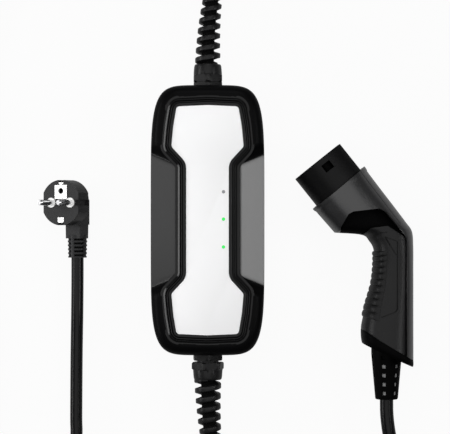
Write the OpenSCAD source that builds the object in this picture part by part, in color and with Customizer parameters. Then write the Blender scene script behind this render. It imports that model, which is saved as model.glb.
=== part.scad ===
// A portable charging lead for an electric car: a control box between a mains lead with an
// angled two-pin plug and a vehicle lead with a hand-held connector, laid flat on a table.
// Millimetres. X runs across the box, Y along it and Z up from the table.

/* [Control box] */
// Width of the box across its waist
box_w = 96.6; // [90:0.2:110]
// Length of the box between its two gland ends
box_l = 229.2; // [215:0.2:250]
// Height of the frame's crest above the table
box_h = 54; // [52:0.5:60]
// Squareness of the outline: 2 is an ellipse, more is squarer
box_round = 5.6; // [5:0.1:7]
// Height of the back case up to its seal
tub_h = 36.5; // [35:0.5:38]
// Thickness of the case walls
wall = 2.6; // [2.2:0.1:3]
// Thickness of the seal between the cases
seal_t = 1.2; // [0.8:0.1:1.6]
// Radius of the rounded edge around the front
front_round = 10; // [8:0.5:11]
// Distance from the middle to the inner edge of a side scoop
scoop_x = 24.9; // [24.9:0.1:28]
// Slope of the side scoops, in degrees
scoop_slope = 25.5; // [20:0.5:27]

/* [Front panel] */
// Half the width of the panel at its waist
panel_waist = 18.1; // [16:0.1:18.1]
// Half the width of the panel where it is widest
panel_wide = 30.2; // [28:0.1:31]
// Half the width of the panel at its ends
panel_end = 26.2; // [25:0.1:27]
// Half the length of the panel
panel_half = 97.3; // [94:0.1:98]
// Thickness of the panel
panel_t = 2.1; // [1.6:0.1:2.4]
// Width of the raised frame around the panel
frame_w = 6.8; // [5.8:0.1:6.8]
// Radius of an indicator window
led_r = 1.35; // [1:0.05:1.8]

/* [Cable glands] */
// Height of the gland axis above the table
gland_z = 20.5; // [19.5:0.5:22]
// Size of the gland's hexagon across its flats
gland_flats = 24; // [22:0.5:25]
// Radius of the thread through the case
gland_thread_r = 10; // [9.5:0.1:10.5]
// Length of each spiral bend protector
spiral_l = 70; // [50:1:80]
// Pitch of the spiral
spiral_pitch = 8.7; // [7.5:0.1:10]

/* [Leads] */
// Radius of the mains lead
mains_r = 5.3; // [4.5:0.1:5.5]
// Radius of the vehicle lead
vehicle_r = 5.8; // [5:0.1:6]

/* [Mains plug] */
// Radius of the plug's face
plug_r = 19.5; // [18.5:0.1:19.9]
// Radius of a plug pin
pin_r = 2.4; // [2:0.05:2.45]
// Distance between the two pins
pin_pitch = 19; // [18.8:0.1:19.2]
// Length of a pin in front of the plug's face
pin_l = 19; // [17:0.5:20]
// Turn of the plug about its own lead, in degrees
plug_turn = 28; // [20:1:40]

/* [Vehicle connector] */
// Radius of the round side of the connector's nose
nose_r = 27; // [26.5:0.1:27.3]
// Distance from the nose's axis to its flat side
nose_flat = 20.4; // [19.5:0.1:21]
// Length of the nose in front of the housing
nose_l = 28; // [25:0.5:32]
// Radius of a power contact's socket
power_r = 3; // [2.6:0.05:3.2]
// Radius of a pilot contact's socket
pilot_r = 1.5; // [1.2:0.05:1.7]
// Thickness of the connector's shells
gun_wall = 2.8; // [2.2:0.1:3.2]

/* [Hidden] */

// Clearances
fit = 0.1;
slip = 0.25;

// Heights in the box
cover_z = tub_h + seal_t;
frame_h = 4;
frame_z = box_h - frame_h;
plateau_z = box_h - 1.2;
roof_z = frame_z - 2.4;
board_z = 8;
board_t = 1.6;
board_l = 186;
board_w = 74;
board_corner = 10;
relay_x = 17;
relay_y = 8;
relay_w = 26;
relay_l = 22;
relay_h = 22;
indicator_w = 14;
indicator_over = 9;
indicator_t = 1.2;
indicator_post_r = 2;
indicator_post_h = 2;
board_top = board_z + board_t;
panel_top = frame_z + panel_t;

// Ends of the box: the flat facets where the glands seat
outline_n = 64;
end_y = box_l/2*pow(cos(180/outline_n), 2/box_round);
inner_end_y = (box_l/2 - wall)*pow(cos(180/outline_n), 2/box_round);
screw_x = box_w/2 - 14.3;
screw_y = box_l/2 - 20.6;
post_x = 30;
post_y = 76;
led_x = 13.5;
led_ys = [-22.6, 0.9, 24];

// Gland lengths along its axis, from the case outward
gland_body_t = 4;
gland_nut_t = 6.2;
gland_dome_l = 8.8;
gland_in = 10;
gland_out = 8.5;
locknut_t = 5;
nut_gap_mains = 0.3;
nut_gap_vehicle = 1.7;
spiral_lean_mains = 6;
spiral_lean_vehicle = 4.6;
spiral_droop = 9;
spiral_run = 70;
spiral_start_r = 11.1;
spiral_end_wall = 2.6;
spiral_clear = 0.4;
gland_dome_r = 12.2;
gland_stem_r = 9.2;
terminal_y = 92;

// Plug
plug_x = -125.4;
plug_y = 15;
plug_z = 32.9;
plug_disc_t = 16;
plug_flat = 17.6;
plug_back_z = -33;
plug_back_x = 10;
plug_back_y = [-19, 6];
plug_out_z = -26.5;
plug_neck_y = -28;
plug_neck_end_y = -31.5;
plug_neck_x = [8.7, 7.7];
plug_end_y = -47.4;
sleeve_r = [8, 8.6];
sleeve_core_r = 6.7;
sleeve_strip = 3.2;
sleeve_pitch = 3.4;
sleeve_slot = 1.8;
plug_cable_x = plug_x + plug_out_z*-sin(plug_turn);
plug_cable_z = plug_z + plug_out_z*cos(plug_turn);

// Connector: the nose's axis leans from the Y axis by nose_lean, at height gun_z
gun_z = 29.6;
nose_lean = 38.6;
nose_tip = [96, 51.9];
nose_seat = 14;
boot_x = 153;
boot_y0 = -107;
boot_y1 = -153;

// Coil of the vehicle lead: two layers of turns, resting on its tie
coil_c = [86, -312];
coil_r0 = 53;
coil_r1 = 88;
coil_lift = 1.6;
coil_low = coil_lift + vehicle_r;
coil_high = coil_lift + 3*vehicle_r;
coil_stub = 46;

// Connector stations: inner edge, outer edge, half thickness, half thickness of the grip part
gun_stations = [
    [[90.5, 9.9], [133.5, 45.5], 29.4, 17],
    [[99.5, -0.4], [144.8, 30.4], 29.6, 17],
    [[108.6, -10.7], [157, 14.5], 29, 17],
    [[131.7, -12.6], [169, -1.5], 27, 17.5],
    [[138.3, -18.1], [174.3, -9.5], 25, 22.5],
    [[142, -25.5], [175.4, -22], 23.6, 22.6],
    [[142.2, -38.9], [175.4, -40], 22.8, 21.8],
    [[140.3, -55.1], [175.4, -58], 22.8, 21.8],
    [[135.3, -71.7], [175.4, -79], 23.6, 22.6],
    [[131.7, -88.1], [175.4, -104], 25.6, 24.6],
    [[131.2, -93.1], [175.4, -119.4], 26.4, 25.4]];
cap_stations = [
    [[131.2, -93.3], [175.4, -119.6], 26.4, 0],
    [[131.3, -99], [175.5, -122.5], 26.2, 0],
    [[132.2, -105], [175, -125], 24.6, 0]];
// Edge of the hood and of the spine, around the grip part
grip_region = [[112, -22], [112.8, -5.7], [118.5, 5], [122.7, 7.4], [144.8, 9.9], [150.6, 7.5],
    [168.2, -15.1], [168.4, -60], [168.4, -140], [112, -140]];

// Hand-laid routes beyond the bend protectors
mains_route = [[8.2, 220, 7.6], [7.4, 235, 5.8], [1.5, 252.5, 5.3], [-11, 267, 5.3], [-28, 276, 5.3],
    [-50, 279.5, 5.3], [-78, 276, 5.3], [-109, 265.5, 5.3], [-141, 247, 5.3], [-170, 220, 5.3],
    [-191, 187, 5.3], [-203, 148, 5.3], [-206, 105, 5.3], [-206, 20, 5.3], [-206, -80, 5.3],
    [-206, -172, 5.3], [-206, -189, 5.3], [-201.7, -208.4, 5.3], [-189.6, -224.1, 5.3], [-172.1, -233.2, 5.3],
    [-148.3, -233.2, 5.3], [-130.8, -224.1, 5.3], [-118.7, -208.4, 5.3], [-114.4, -189, 5.3],
    [-114.4, -172, 5.3], [-114.2, -140, 5.8], [-113.8, -110, 7.6], [-113.2, -80, 9.6]];
vehicle_in_route = [[5, -218, 9.3], [3.6, -231, 8], [0, -244, 7.4]];
vehicle_out_route = [[153.4, -168, 29.3], [156, -186, 28], [161, -204, 25.6], [166.5, -222, 22.8],
    [171.5, -240, 20.2]];

// Superellipse point at angle t
function superpoint(a, b, n, t) = [
    a*sign(cos(t))*pow(abs(cos(t)), 2/n),
    b*sign(sin(t))*pow(abs(sin(t)), 2/n)];

// Outline of the box, drawn in by inset
function box_outline(inset) = [for (i = [0:outline_n - 1])
    superpoint(box_w/2 - inset, box_l/2 - inset, box_round, (i + 0.5)*360/outline_n)];

// Corners of the panel, each with its rounding radius: one end, then the other end turned round
function panel_corners() = let(
    half = [[panel_waist, 48.5, 12], [panel_wide, 61.6, 3], [panel_end, panel_half - 1.3, 2.5],
        [0, panel_half, 60],
        [-panel_end, panel_half - 1.3, 2.5], [-panel_wide, 61.6, 3], [-panel_waist, 48.5, 12]])
    concat(half, [for (c = half) [-c[0], -c[1], c[2]]]);

function unit(v) = v/norm(v);
function flat2(v) = [v[0], v[1]];
function right_of(v) = [v[1], -v[0]];

// Corner b between a and c moved out by d
function mitred(a, b, c, d) = let(
    n1 = right_of(unit(b - a)),
    n2 = right_of(unit(c - b)))
    b + d*(n1 + n2)/(1 + n1*n2);

// Points of the rounded corner b between a and c
function rounded(a, b, c, r) = let(
    u = unit(a - b),
    v = unit(c - b),
    half = acos(u*v)/2,
    centre = b + unit(u + v)*r/sin(half),
    s = b + u*r/tan(half) - centre,
    e = b + v*r/tan(half) - centre)
    [for (k = [0:4]) centre + r*unit(s*(1 - k/4) + e*k/4)];

// Outline of the panel moved out by d
function panel_outline(d) = let(
    c = panel_corners(),
    n = len(c),
    p = [for (i = [0:n - 1]) mitred(flat2(c[(i + n - 1)%n]), flat2(c[i]), flat2(c[(i + 1)%n]), d)],
    turn = [for (i = [0:n - 1]) let(u = p[i] - p[(i + n - 1)%n], v = p[(i + 1)%n] - p[i])
        sign(u[0]*v[1] - u[1]*v[0])])
    [for (i = [0:n - 1]) each rounded(p[(i + n - 1)%n], p[i], p[(i + 1)%n],
        max(c[i][2] + d*turn[i], 0.4))];

// Point between knots b and c of a smooth curve through a, b, c, d
function between(a, b, c, d, t) = 0.5*((2*b) + (c - a)*t + (2*a - 5*b + 4*c - d)*t*t
    + (3*b - a - 3*c + d)*t*t*t);

function smooth(p, sub) = let(n = len(p)) concat(
    [for (i = [0:n - 2], k = [0:sub - 1])
        between(i == 0 ? 2*p[0] - p[1] : p[i - 1], p[i], p[i + 1],
            i == n - 2 ? 2*p[n - 1] - p[n - 2] : p[i + 2], k/sub)],
    [p[n - 1]]);

// Surface through rings of equal length: capped at both ends, or closed into a loop
// A bent ring runs out along its outer edge and back along its inner one
module skin(rings, loop = false, bent = false) {
    m = len(rings);
    n = len(rings[0]);
    ends = bent ? [for (i = [0:n/2 - 2]) [i, i + 1, n - 2 - i, n - 1 - i]] : [[for (i = [0:n - 1]) i]];
    sides = [for (j = [0:(loop ? m - 1 : m - 2)], i = [0:n - 1])
        [j*n + i, j*n + (i + 1)%n, ((j + 1)%m)*n + (i + 1)%n, ((j + 1)%m)*n + i]];
    halves = [for (f = sides) each [[f[2], f[1], f[0]], [f[3], f[2], f[0]]]];
    caps = loop ? [] : concat(ends, [for (f = ends) [for (i = [len(f) - 1:-1:0]) (m - 1)*n + f[i]]]);
    polyhedron([for (r = rings) each r], concat(halves, caps));
}

function lift(outline, z) = [for (p = outline) [p[0], p[1], z]];

// Tube along a route; its rings stand square to the route
function tube_rings(route, r, sides) = let(n = len(route)) [for (i = [0:n - 1]) let(
    t = unit(route[min(i + 1, n - 1)] - route[max(i - 1, 0)]),
    a = unit(cross(t, [0, 0, 1])),
    b = cross(t, a))
    [for (k = [0:sides - 1]) route[i] + r*(a*cos(360*k/sides) + b*sin(360*k/sides))]];

// Axis of a bend protector at distance s from its nut; side is 1 at the mains end, -1 at the other
function nut_end(side) = end_y + gland_body_t + gland_nut_t + gland_dome_l
    + (side > 0 ? nut_gap_mains : nut_gap_vehicle);
function relief(side, s) = [
    (side > 0 ? spiral_lean_mains : spiral_lean_vehicle)*pow(s/spiral_run, 2),
    side*(nut_end(side) + s),
    gland_z - spiral_droop*pow(s/spiral_run, 2)];

// Section of the connector between an inner and an outer edge point
function gun_section(s, c, cut) = let(
    m = (s[0] + s[1])/2,
    h = (s[1] - s[0])/2,
    k = 1 - cut/norm(h))
    [for (i = [0:27]) let(q = superpoint(k, c - cut, 3, i*360/28))
        [m[0] + h[0]*q[0], m[1] + h[1]*q[0], gun_z + q[1]]];

function station_lists(list) = smooth([for (s = list) [s[0][0], s[0][1], s[1][0], s[1][1], s[2], s[3]]], 2);
function station(v) = [[v[0], v[1]], [v[2], v[3]], v[4], v[5]];

module gun_loft(list, cut, part) {
    skin([for (v = station_lists(list)) gun_section(station(v), v[4 + part], cut)]);
}

module at_nose() {
    translate([nose_tip[0], nose_tip[1], gun_z]) rotate([0, 0, nose_lean]) rotate([-90, 0, 0]) children();
}

module at_plug() {
    translate([plug_x, plug_y, plug_z]) rotate([0, -plug_turn, 0]) children();
}

module at_gland(side) {
    translate([0, side*end_y, gland_z]) rotate([-90*side, 0, 0]) children();
}

// Rounded block of the control box from ring heights and insets
module box_stack(rings) {
    skin([for (r = rings) lift(box_outline(r[1]), r[0])]);
}

module corners(x, y) {
    for (i = [-1, 1], j = [-1, 1]) translate([i*x, j*y, 0]) children();
}

module scoops(drop) {
    for (i = [0, 1]) rotate([0, 0, 180*i]) translate([scoop_x, 0, plateau_z - drop])
        rotate([0, scoop_slope, 0]) linear_extrude(40)
            polygon([[0, -48], [0, 48], [26, 58], [60, 60], [60, -60], [26, -58]]);
}

module rear_case() {
    color("#141416") difference() {
        union() {
            difference() {
                box_stack([[0, 5], [0.8, 2.8], [2.4, 1.1], [5, 0.2], [6.5, 0], [tub_h, 0]]);
                translate([0, 0, wall]) linear_extrude(tub_h) polygon(box_outline(wall));
            }
            corners(screw_x, screw_y) translate([0, 0, wall/2]) cylinder(r = 4.4, h = tub_h - wall/2, $fn = 32);
            corners(post_x, post_y) translate([0, 0, wall/2]) cylinder(r = 3.6, h = board_z - wall/2, $fn = 32);
        }
        corners(screw_x, screw_y) translate([0, 0, -1]) cylinder(r = 1.7, h = tub_h + 2, $fn = 24);
        corners(screw_x, screw_y) translate([0, 0, -1]) cylinder(r = 3.2, h = 4.2, $fn = 24);
        corners(post_x, post_y) translate([0, 0, 3.4]) cylinder(r = 1.25, h = board_z, $fn = 24);
        for (side = [-1, 1]) at_gland(side) translate([0, 0, -8])
            cylinder(r = gland_thread_r + fit, h = 12, $fn = 48);
    }
}

module front_case() {
    turns = [15, 30, 45, 60, 75, 90];
    inner = front_round - wall;
    dome_z = plateau_z - front_round;
    color("#141416") difference() {
        box_stack(concat([[cover_z, 0], [dome_z, 0]],
            [for (t = turns) [dome_z + front_round*sin(t), front_round*(1 - cos(t))]]));
        scoops(0);
        translate([0, 0, frame_z]) linear_extrude(20) polygon(panel_outline(frame_w));
        difference() {
            box_stack([[cover_z - 1, wall], [dome_z, wall],
                for (k = [1:3]) let(z = (roof_z - dome_z)*k/3)
                    [dome_z + z, wall + inner - sqrt(inner*inner - z*z)]]);
            scoops(wall*1.15);
            corners(screw_x, screw_y) cylinder(r = 4.4, h = 60, $fn = 32);
        }
        corners(screw_x, screw_y) translate([0, 0, cover_z - 1]) cylinder(r = 1.35, h = 9.4, $fn = 24);
        for (y = led_ys) translate([led_x, y, roof_z - 1]) cylinder(r = led_r + fit, h = 6, $fn = 24);
    }
}

module case_seal() {
    color("#2a2a2c") translate([0, 0, tub_h]) linear_extrude(seal_t) difference() {
        polygon(box_outline(0.7));
        polygon(box_outline(wall + 0.4));
    }
}

module case_screws() {
    color("#9a9ca0") corners(screw_x, screw_y) {
        translate([0, 0, 1]) cylinder(r = 2.9, h = 2.2, $fn = 24);
        translate([0, 0, 3]) cylinder(r = 1.3, h = cover_z + 3.5, $fn = 24);
    }
}

// Raised frame: a ridge with a groove and a lip inside it, seated in the front case
module panel_frame() {
    crest = [[frame_w - slip, -1.2], [frame_w - 0.7, -0.4], [5.6, 0], [5, -0.3], [4.3, -1.5], [3.6, -2.4],
        [2.9, -2.1], [2.5, -1.6], [1.2, -1.6], [0.8, -1.9], [fit, -2.2]];
    foot = [for (d = [fit, frame_w - slip]) lift(panel_outline(d), frame_z)];
    color("#1b1b1d") skin(concat(foot,
        [for (c = crest) lift(panel_outline(c[0]), box_h + c[1])]), true);
}

module front_panel() {
    color("#f0f0f0") difference() {
        translate([0, 0, frame_z]) linear_extrude(panel_t) polygon(panel_outline(0));
        for (y = led_ys) translate([led_x, y, frame_z - 1]) cylinder(r = led_r + fit, h = 6, $fn = 24);
    }
}

module led_pipe(y) {
    translate([led_x, y, roof_z - 1.2]) cylinder(r = led_r, h = panel_top + 0.2 - roof_z + 1.2, $fn = 24);
}

module led_power() {
    color("#35d06a") led_pipe(led_ys[0]);
}

module led_charge() {
    color("#35d06a") led_pipe(led_ys[1]);
}

module led_fault() {
    color("#8a8c90") led_pipe(led_ys[2]);
}

module indicator_board() {
    z = roof_z - indicator_post_h - indicator_t;
    color("#1f5a35") translate([led_x - indicator_w/2, led_ys[0] - indicator_over, z])
        cube([indicator_w, led_ys[2] - led_ys[0] + 2*indicator_over, indicator_t]);
    color("#1f5a35") for (y = [led_ys[0] - indicator_over + 3, led_ys[2] + indicator_over - 3])
        translate([led_x, y, roof_z - indicator_post_h])
            cylinder(r = indicator_post_r, h = indicator_post_h, $fn = 24);
}

module indicator_chips() {
    color("#e8e4c8") for (y = led_ys) translate([led_x - 1.6, y - 1, roof_z - indicator_post_h])
        cube([3.2, 2, 0.8]);
}

module circuit_board() {
    color("#1f5a35") difference() {
        translate([-board_w/2, -board_l/2, board_z]) cube([board_w, board_l, board_t]);
        corners(post_x, post_y) translate([0, 0, board_z - 1]) cylinder(r = 1.6, h = 4, $fn = 24);
        corners(board_w/2, board_l/2) translate([0, 0, board_z - 1])
            cylinder(r = board_corner, h = 4, $fn = 32);
    }
}

module board_screws() {
    color("#9a9ca0") corners(post_x, post_y) {
        translate([0, 0, board_top]) cylinder(r = 2.7, h = 1.8, $fn = 24);
        translate([0, 0, board_top - 4]) cylinder(r = 1.2, h = 4.5, $fn = 24);
    }
}

module power_relays() {
    color("#25262a") for (x = [-relay_x, relay_x]) translate([x - relay_w/2, relay_y, board_top])
        cube([relay_w, relay_l, relay_h]);
}

// Current sensor ring: the line conductors pass through its window
module leakage_sensor() {
    color("#30343c") translate([0, -22, board_top]) {
        translate([-18, -8, 0]) cube([36, 16, 4]);
        translate([0, 6, 17]) rotate([90, 0, 0]) rotate_extrude($fn = 48) translate([8, 0]) square([7, 12]);
    }
}

module supply_transformer() {
    color("#c9a227") translate([-34, 38, board_top]) {
        cube([30, 26, 6]);
        translate([4, 2, 6]) cube([22, 22, 13]);
    }
}

module supply_capacitors() {
    color("#202a4a") for (y = [42, 56]) translate([16, y, board_top]) cylinder(r = 5, h = 20, $fn = 32);
}

module terminal_block(side) {
    color("#3a6a48") translate([0, side*(terminal_y - 7), board_top]) difference() {
        translate([-16, -7, 0]) cube([32, 14, 19]);
        for (x = [-10, 0, 10]) translate([x, side*-1, 12]) cylinder(r = 2.2, h = 8, $fn = 24);
    }
}

module mains_terminals() {
    terminal_block(1);
}

module vehicle_terminals() {
    terminal_block(-1);
}

module controller_chip() {
    color("#17181a") translate([-30, -52, board_top]) cube([12, 12, 1.6]);
}

// Gland body: hexagon, thread through the case, and thread under the nut
module gland_body(side, lead_r) {
    color("#17181a") at_gland(side) difference() {
        union() {
            cylinder(d = gland_flats/cos(30), h = gland_body_t, $fn = 6);
            translate([0, 0, -gland_in]) cylinder(r = gland_thread_r, h = gland_in + 1, $fn = 48);
            translate([0, 0, gland_body_t - 1]) cylinder(r = gland_stem_r, h = gland_out + 1, $fn = 48);
        }
        translate([0, 0, -gland_in - 1]) cylinder(r = lead_r + 0.5, h = gland_in + 4, $fn = 48);
        translate([0, 0, 2]) cylinder(r = lead_r + 2, h = 30, $fn = 48);
    }
}

module mains_gland_body() {
    gland_body(1, mains_r);
}

module vehicle_gland_body() {
    gland_body(-1, vehicle_r);
}

module gland_locknut(side) {
    color("#17181a") at_gland(side) translate([0, 0, inner_end_y - end_y - locknut_t]) difference() {
        cylinder(d = 25/cos(30), h = locknut_t, $fn = 6);
        translate([0, 0, -1]) cylinder(r = gland_thread_r + fit, h = locknut_t + 2, $fn = 48);
    }
}

module mains_gland_locknut() {
    gland_locknut(1);
}

module vehicle_gland_locknut() {
    gland_locknut(-1);
}

// Rubber sleeve squeezed between the gland body and the lead
module gland_seal(side, lead_r) {
    color("#3a3a3c") at_gland(side) translate([0, 0, 2]) difference() {
        cylinder(r = lead_r + 2 - fit, h = gland_body_t + gland_out - 2, $fn = 48);
        translate([0, 0, -1]) cylinder(r = lead_r + fit, h = 30, $fn = 48);
    }
}

module mains_gland_seal() {
    gland_seal(1, mains_r);
}

module vehicle_gland_seal() {
    gland_seal(-1, vehicle_r);
}

// Gland nut with its spiral bend protector: a strip wound on the drooping axis of the lead
module gland_nut(side, lead_r, gap, r0) {
    steps = 20;
    strip = 0.58*spiral_pitch;
    inner = lead_r + spiral_clear;
    start = gland_body_t + gap;
    last = floor(spiral_l/spiral_pitch*steps);
    rings = [for (i = [0:last]) let(
        turn = 360*i/steps,
        s = -0.45*strip + spiral_pitch*i/steps,
        outer = r0 - (r0 - lead_r - spiral_end_wall)*i/last,
        e = [side*sin(turn), 0, cos(turn)])
        [for (c = [[inner, strip], [outer, strip - 0.3], [outer, 0.3], [inner, 0]])
            relief(side, s + c[1]) + c[0]*e]];
    color("#17181a") union() {
        at_gland(side) translate([0, 0, start]) difference() {
            union() {
                cylinder(d = gland_flats/cos(30), h = gland_nut_t, $fn = 6);
                translate([0, 0, gland_nut_t - 0.5])
                    cylinder(r = gland_dome_r, h = gland_dome_l - 1.2, $fn = 48);
                translate([0, 0, gland_nut_t + gland_dome_l - 1.7])
                    cylinder(r1 = gland_dome_r, r2 = gland_dome_r - 1, h = 1.7, $fn = 48);
            }
            translate([0, 0, -1]) cylinder(r = lead_r + 2*fit, h = 40, $fn = 48);
            translate([0, 0, -1]) cylinder(r = gland_stem_r + fit, h = gland_out - gap + 1.4, $fn = 48);
        }
        skin(rings);
    }
}

module mains_gland_nut() {
    gland_nut(1, mains_r, nut_gap_mains, spiral_start_r);
}

module vehicle_gland_nut() {
    gland_nut(-1, vehicle_r, nut_gap_vehicle, spiral_start_r);
}

module mains_lead() {
    route = concat([[0, terminal_y + fit, gland_z]], [for (s = [0:14:70]) relief(1, s)], mains_route,
        [for (y = [-16, -2, 16 - fit]) [plug_cable_x, plug_y + plug_end_y + y, plug_cable_z]]);
    color("#101012") skin(tube_rings(smooth(route, 2), mains_r, 10));
}

// Plug: the disc inside the socket's recess, the narrow back, the angular neck and the slotted sleeve
module plug_body() {
    color("#2b2c30") at_plug() difference() {
        union() {
            intersection() {
                union() {
                    translate([0, 0, -plug_disc_t]) cylinder(r = plug_r, h = plug_disc_t, $fn = 72);
                    translate([0, 0, -plug_disc_t - 6])
                        cylinder(r1 = plug_r - 7, r2 = plug_r - 0.6, h = 6.2, $fn = 72);
                }
                translate([-plug_flat, -30, -40]) cube([2*plug_flat, 60, 60]);
            }
            plug_back();
            plug_neck();
            translate([0, plug_end_y, plug_out_z]) rotate([-90, 0, 0])
                cylinder(r1 = sleeve_r[0], r2 = sleeve_r[1], h = plug_neck_y - plug_end_y, $fn = 48);
        }
        translate([0, plug_end_y - 1, plug_out_z]) rotate([-90, 0, 0])
            cylinder(r = mains_r + fit, h = 17, $fn = 48);
        for (k = [0:4]) translate([0, plug_end_y + 1.2 + sleeve_pitch*k, plug_out_z]) sleeve_slots();
        // Guide slots at the sides and earth slots at the top and foot of the face
        for (i = [-1, 1]) translate([i*(plug_flat - 1.2) - 2, -2.4, -18.5]) cube([4, 4.8, 20]);
        for (j = [-1, 1]) translate([-2.8, j*(plug_r - 1.7) - 1.7, -18.5]) cube([5.6, 3.4, 20]);
        // Seats of the pin carrier and of the earth plates
        translate([-pin_pitch/2 - 4.6, -4.6, -8]) cube([pin_pitch + 9.2, 9.2, 5.1]);
        for (i = [-1, 1]) translate([i*pin_pitch/2, 0, -4]) cylinder(r = 4.3, h = 10, $fn = 48);
        translate([-6.1, 3.1, -1.3]) cube([12.2, plug_r - 7.5, 3]);
        translate([-1.4, plug_r - 5, -1.3]) cube([2.8, 3, 3]);
        translate([0, 10, -14]) cylinder(r = 2.7, h = 20, $fn = 32);
        translate([-3.1, -plug_r + 3.3, -1.3]) cube([6.2, 3.6, 3]);
    }
}

// Back of the plug: sloped at its top and bevelled along its rear edges
module plug_back() {
    intersection() {
        translate([-plug_back_x, 0, 0]) rotate([90, 0, 90]) linear_extrude(2*plug_back_x)
            polygon([[plug_back_y[1], -10], [plug_back_y[1], -22], [plug_back_y[1] - 4, plug_back_z + 2],
                [plug_back_y[1] - 8, plug_back_z], [plug_back_y[0] + 3, plug_back_z],
                [plug_back_y[0], plug_back_z + 3], [plug_back_y[0], -10]]);
        translate([0, 30, 0]) rotate([90, 0, 0]) linear_extrude(60)
            polygon([[-plug_back_x, 0], [-plug_back_x, plug_back_z + 3], [-plug_back_x + 2.6, plug_back_z],
                [plug_back_x - 2.6, plug_back_z], [plug_back_x, plug_back_z + 3], [plug_back_x, 0]]);
    }
}

// Neck: four-sided with bevelled edges, narrowing towards the sleeve
module plug_neck() {
    intersection() {
        translate([0, 0, plug_back_z]) linear_extrude(30)
            polygon([[-plug_neck_x[0], -14], [-plug_neck_x[1], plug_neck_end_y],
                [plug_neck_x[1], plug_neck_end_y], [plug_neck_x[0], -14]]);
        rotate([90, 0, 0]) linear_extrude(60)
            polygon([[-9, -30.2], [-6.6, -32.6], [6.6, -32.6], [9, -30.2], [9, -21.2], [6.9, -19], [-6.9, -19],
                [-9, -21.2]]);
    }
}

// Slots round the sleeve, with four strips left between them
module sleeve_slots() {
    rotate([-90, 0, 0]) difference() {
        cylinder(r = 12, h = sleeve_slot, $fn = 48);
        translate([0, 0, -1]) cylinder(r = sleeve_core_r, h = sleeve_slot + 2, $fn = 48);
        translate([-sleeve_strip/2, -20, -1]) cube([sleeve_strip, 40, sleeve_slot + 2]);
        translate([-20, -sleeve_strip/2, -1]) cube([40, sleeve_strip, sleeve_slot + 2]);
    }
}

module pin_carrier() {
    color("#e6e6e2") at_plug() difference() {
        union() {
            translate([-pin_pitch/2 - 4.5, -4.5, -8]) cube([pin_pitch + 9, 9, 5]);
            for (i = [-1, 1]) translate([i*pin_pitch/2, 0, -4]) cylinder(r = 4.2, h = 4.8, $fn = 48);
        }
        for (i = [-1, 1]) translate([i*pin_pitch/2, 0, -9]) cylinder(r = 1.8 + fit, h = 20, $fn = 32);
    }
}

// Pin: hollow at its tip, standing on the collar of the carrier
module plug_pin(i) {
    color("#d8d8da") at_plug() translate([i*pin_pitch/2, 0, 0.8]) difference() {
        union() {
            translate([0, 0, -8.8]) cylinder(r = 1.8, h = 9, $fn = 32);
            cylinder(r = pin_r, h = pin_l - 2, $fn = 48);
            translate([0, 0, pin_l - 2]) cylinder(r1 = pin_r, r2 = pin_r - 0.8, h = 1.2, $fn = 48);
        }
        translate([0, 0, pin_l - 2.8]) cylinder(r = 1.1, h = 6, $fn = 24);
    }
}

module line_pin() {
    plug_pin(-1);
}

module neutral_pin() {
    plug_pin(1);
}

// Earth plate with the hole for a socket's earth pin, and the clips in the edge slots
module earth_contact() {
    color("#dcdcdc") at_plug() {
        difference() {
            translate([-6, 3.2, -1.3]) cube([12, plug_r - 7.7, 1.5]);
            translate([0, 10, -5]) cylinder(r = 2.6, h = 10, $fn = 32);
        }
        translate([-1.3, plug_r - 5, -1.3]) cube([2.6, 2.2, 1]);
        translate([-2.5, plug_r - 3.3, -15]) cube([5, 1, 14.7]);
        translate([-3, -plug_r + 3.4, -1.3]) cube([6, 3.4, 1.5]);
        translate([-2.5, -plug_r + 2.4, -16]) cube([5, 1, 16.2]);
    }
}

module vehicle_lead_in() {
    route = concat([[0, -terminal_y - fit, gland_z]], [for (s = [0:14:70]) relief(-1, s)], vehicle_in_route,
        [for (y = [10, 5, fit]) [coil_c[0] - coil_r1, coil_c[1] + coil_stub + y, coil_low]]);
    color("#101012") skin(tube_rings(smooth(route, 2), vehicle_r, 10));
}

// Coil: the outer shape of its turns, with the straight starts of the two leads
module coil_shape(grow) {
    translate([coil_c[0], coil_c[1], 0]) rotate_extrude($fn = 72)
        translate([coil_r0 - vehicle_r - grow, coil_lift - grow])
            square([coil_r1 - coil_r0 + 2*vehicle_r + 2*grow, 4*vehicle_r + 2*grow]);
}

module vehicle_coil() {
    color("#101012") union() {
        coil_shape(0);
        translate([coil_c[0] - coil_r1, coil_c[1], coil_low]) rotate([-90, 0, 0])
            cylinder(r = vehicle_r, h = coil_stub, $fn = 32);
        translate([coil_c[0] + coil_r1, coil_c[1], coil_high]) rotate([-90, 0, 0])
            cylinder(r = vehicle_r, h = coil_stub, $fn = 32);
    }
}

module coil_tie() {
    x0 = coil_c[0] - 9;
    y0 = coil_c[1] - coil_r1 - vehicle_r - 1.4;
    color("#1c1c20") intersection() {
        difference() {
            coil_shape(1.4);
            coil_shape(0);
        }
        translate([x0, y0 - 10, 0.2]) cube([18, 80, 60]);
    }
}

module vehicle_lead_out() {
    route = concat([for (y = [boot_y0 + 4, -130, boot_y1]) [boot_x, y, gun_z]], vehicle_out_route,
        [for (y = [10, 5, fit]) [coil_c[0] + coil_r1, coil_c[1] + coil_stub + y, coil_high]]);
    color("#101012") skin(tube_rings(smooth(route, 2), vehicle_r, 10));
}

module nose_shape(inset, h) {
    intersection() {
        cylinder(r = nose_r - inset, h = h, $fn = 96);
        translate([-60, -60, -1]) cube([60 + nose_flat - inset, 120, h + 2]);
    }
}

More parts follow.
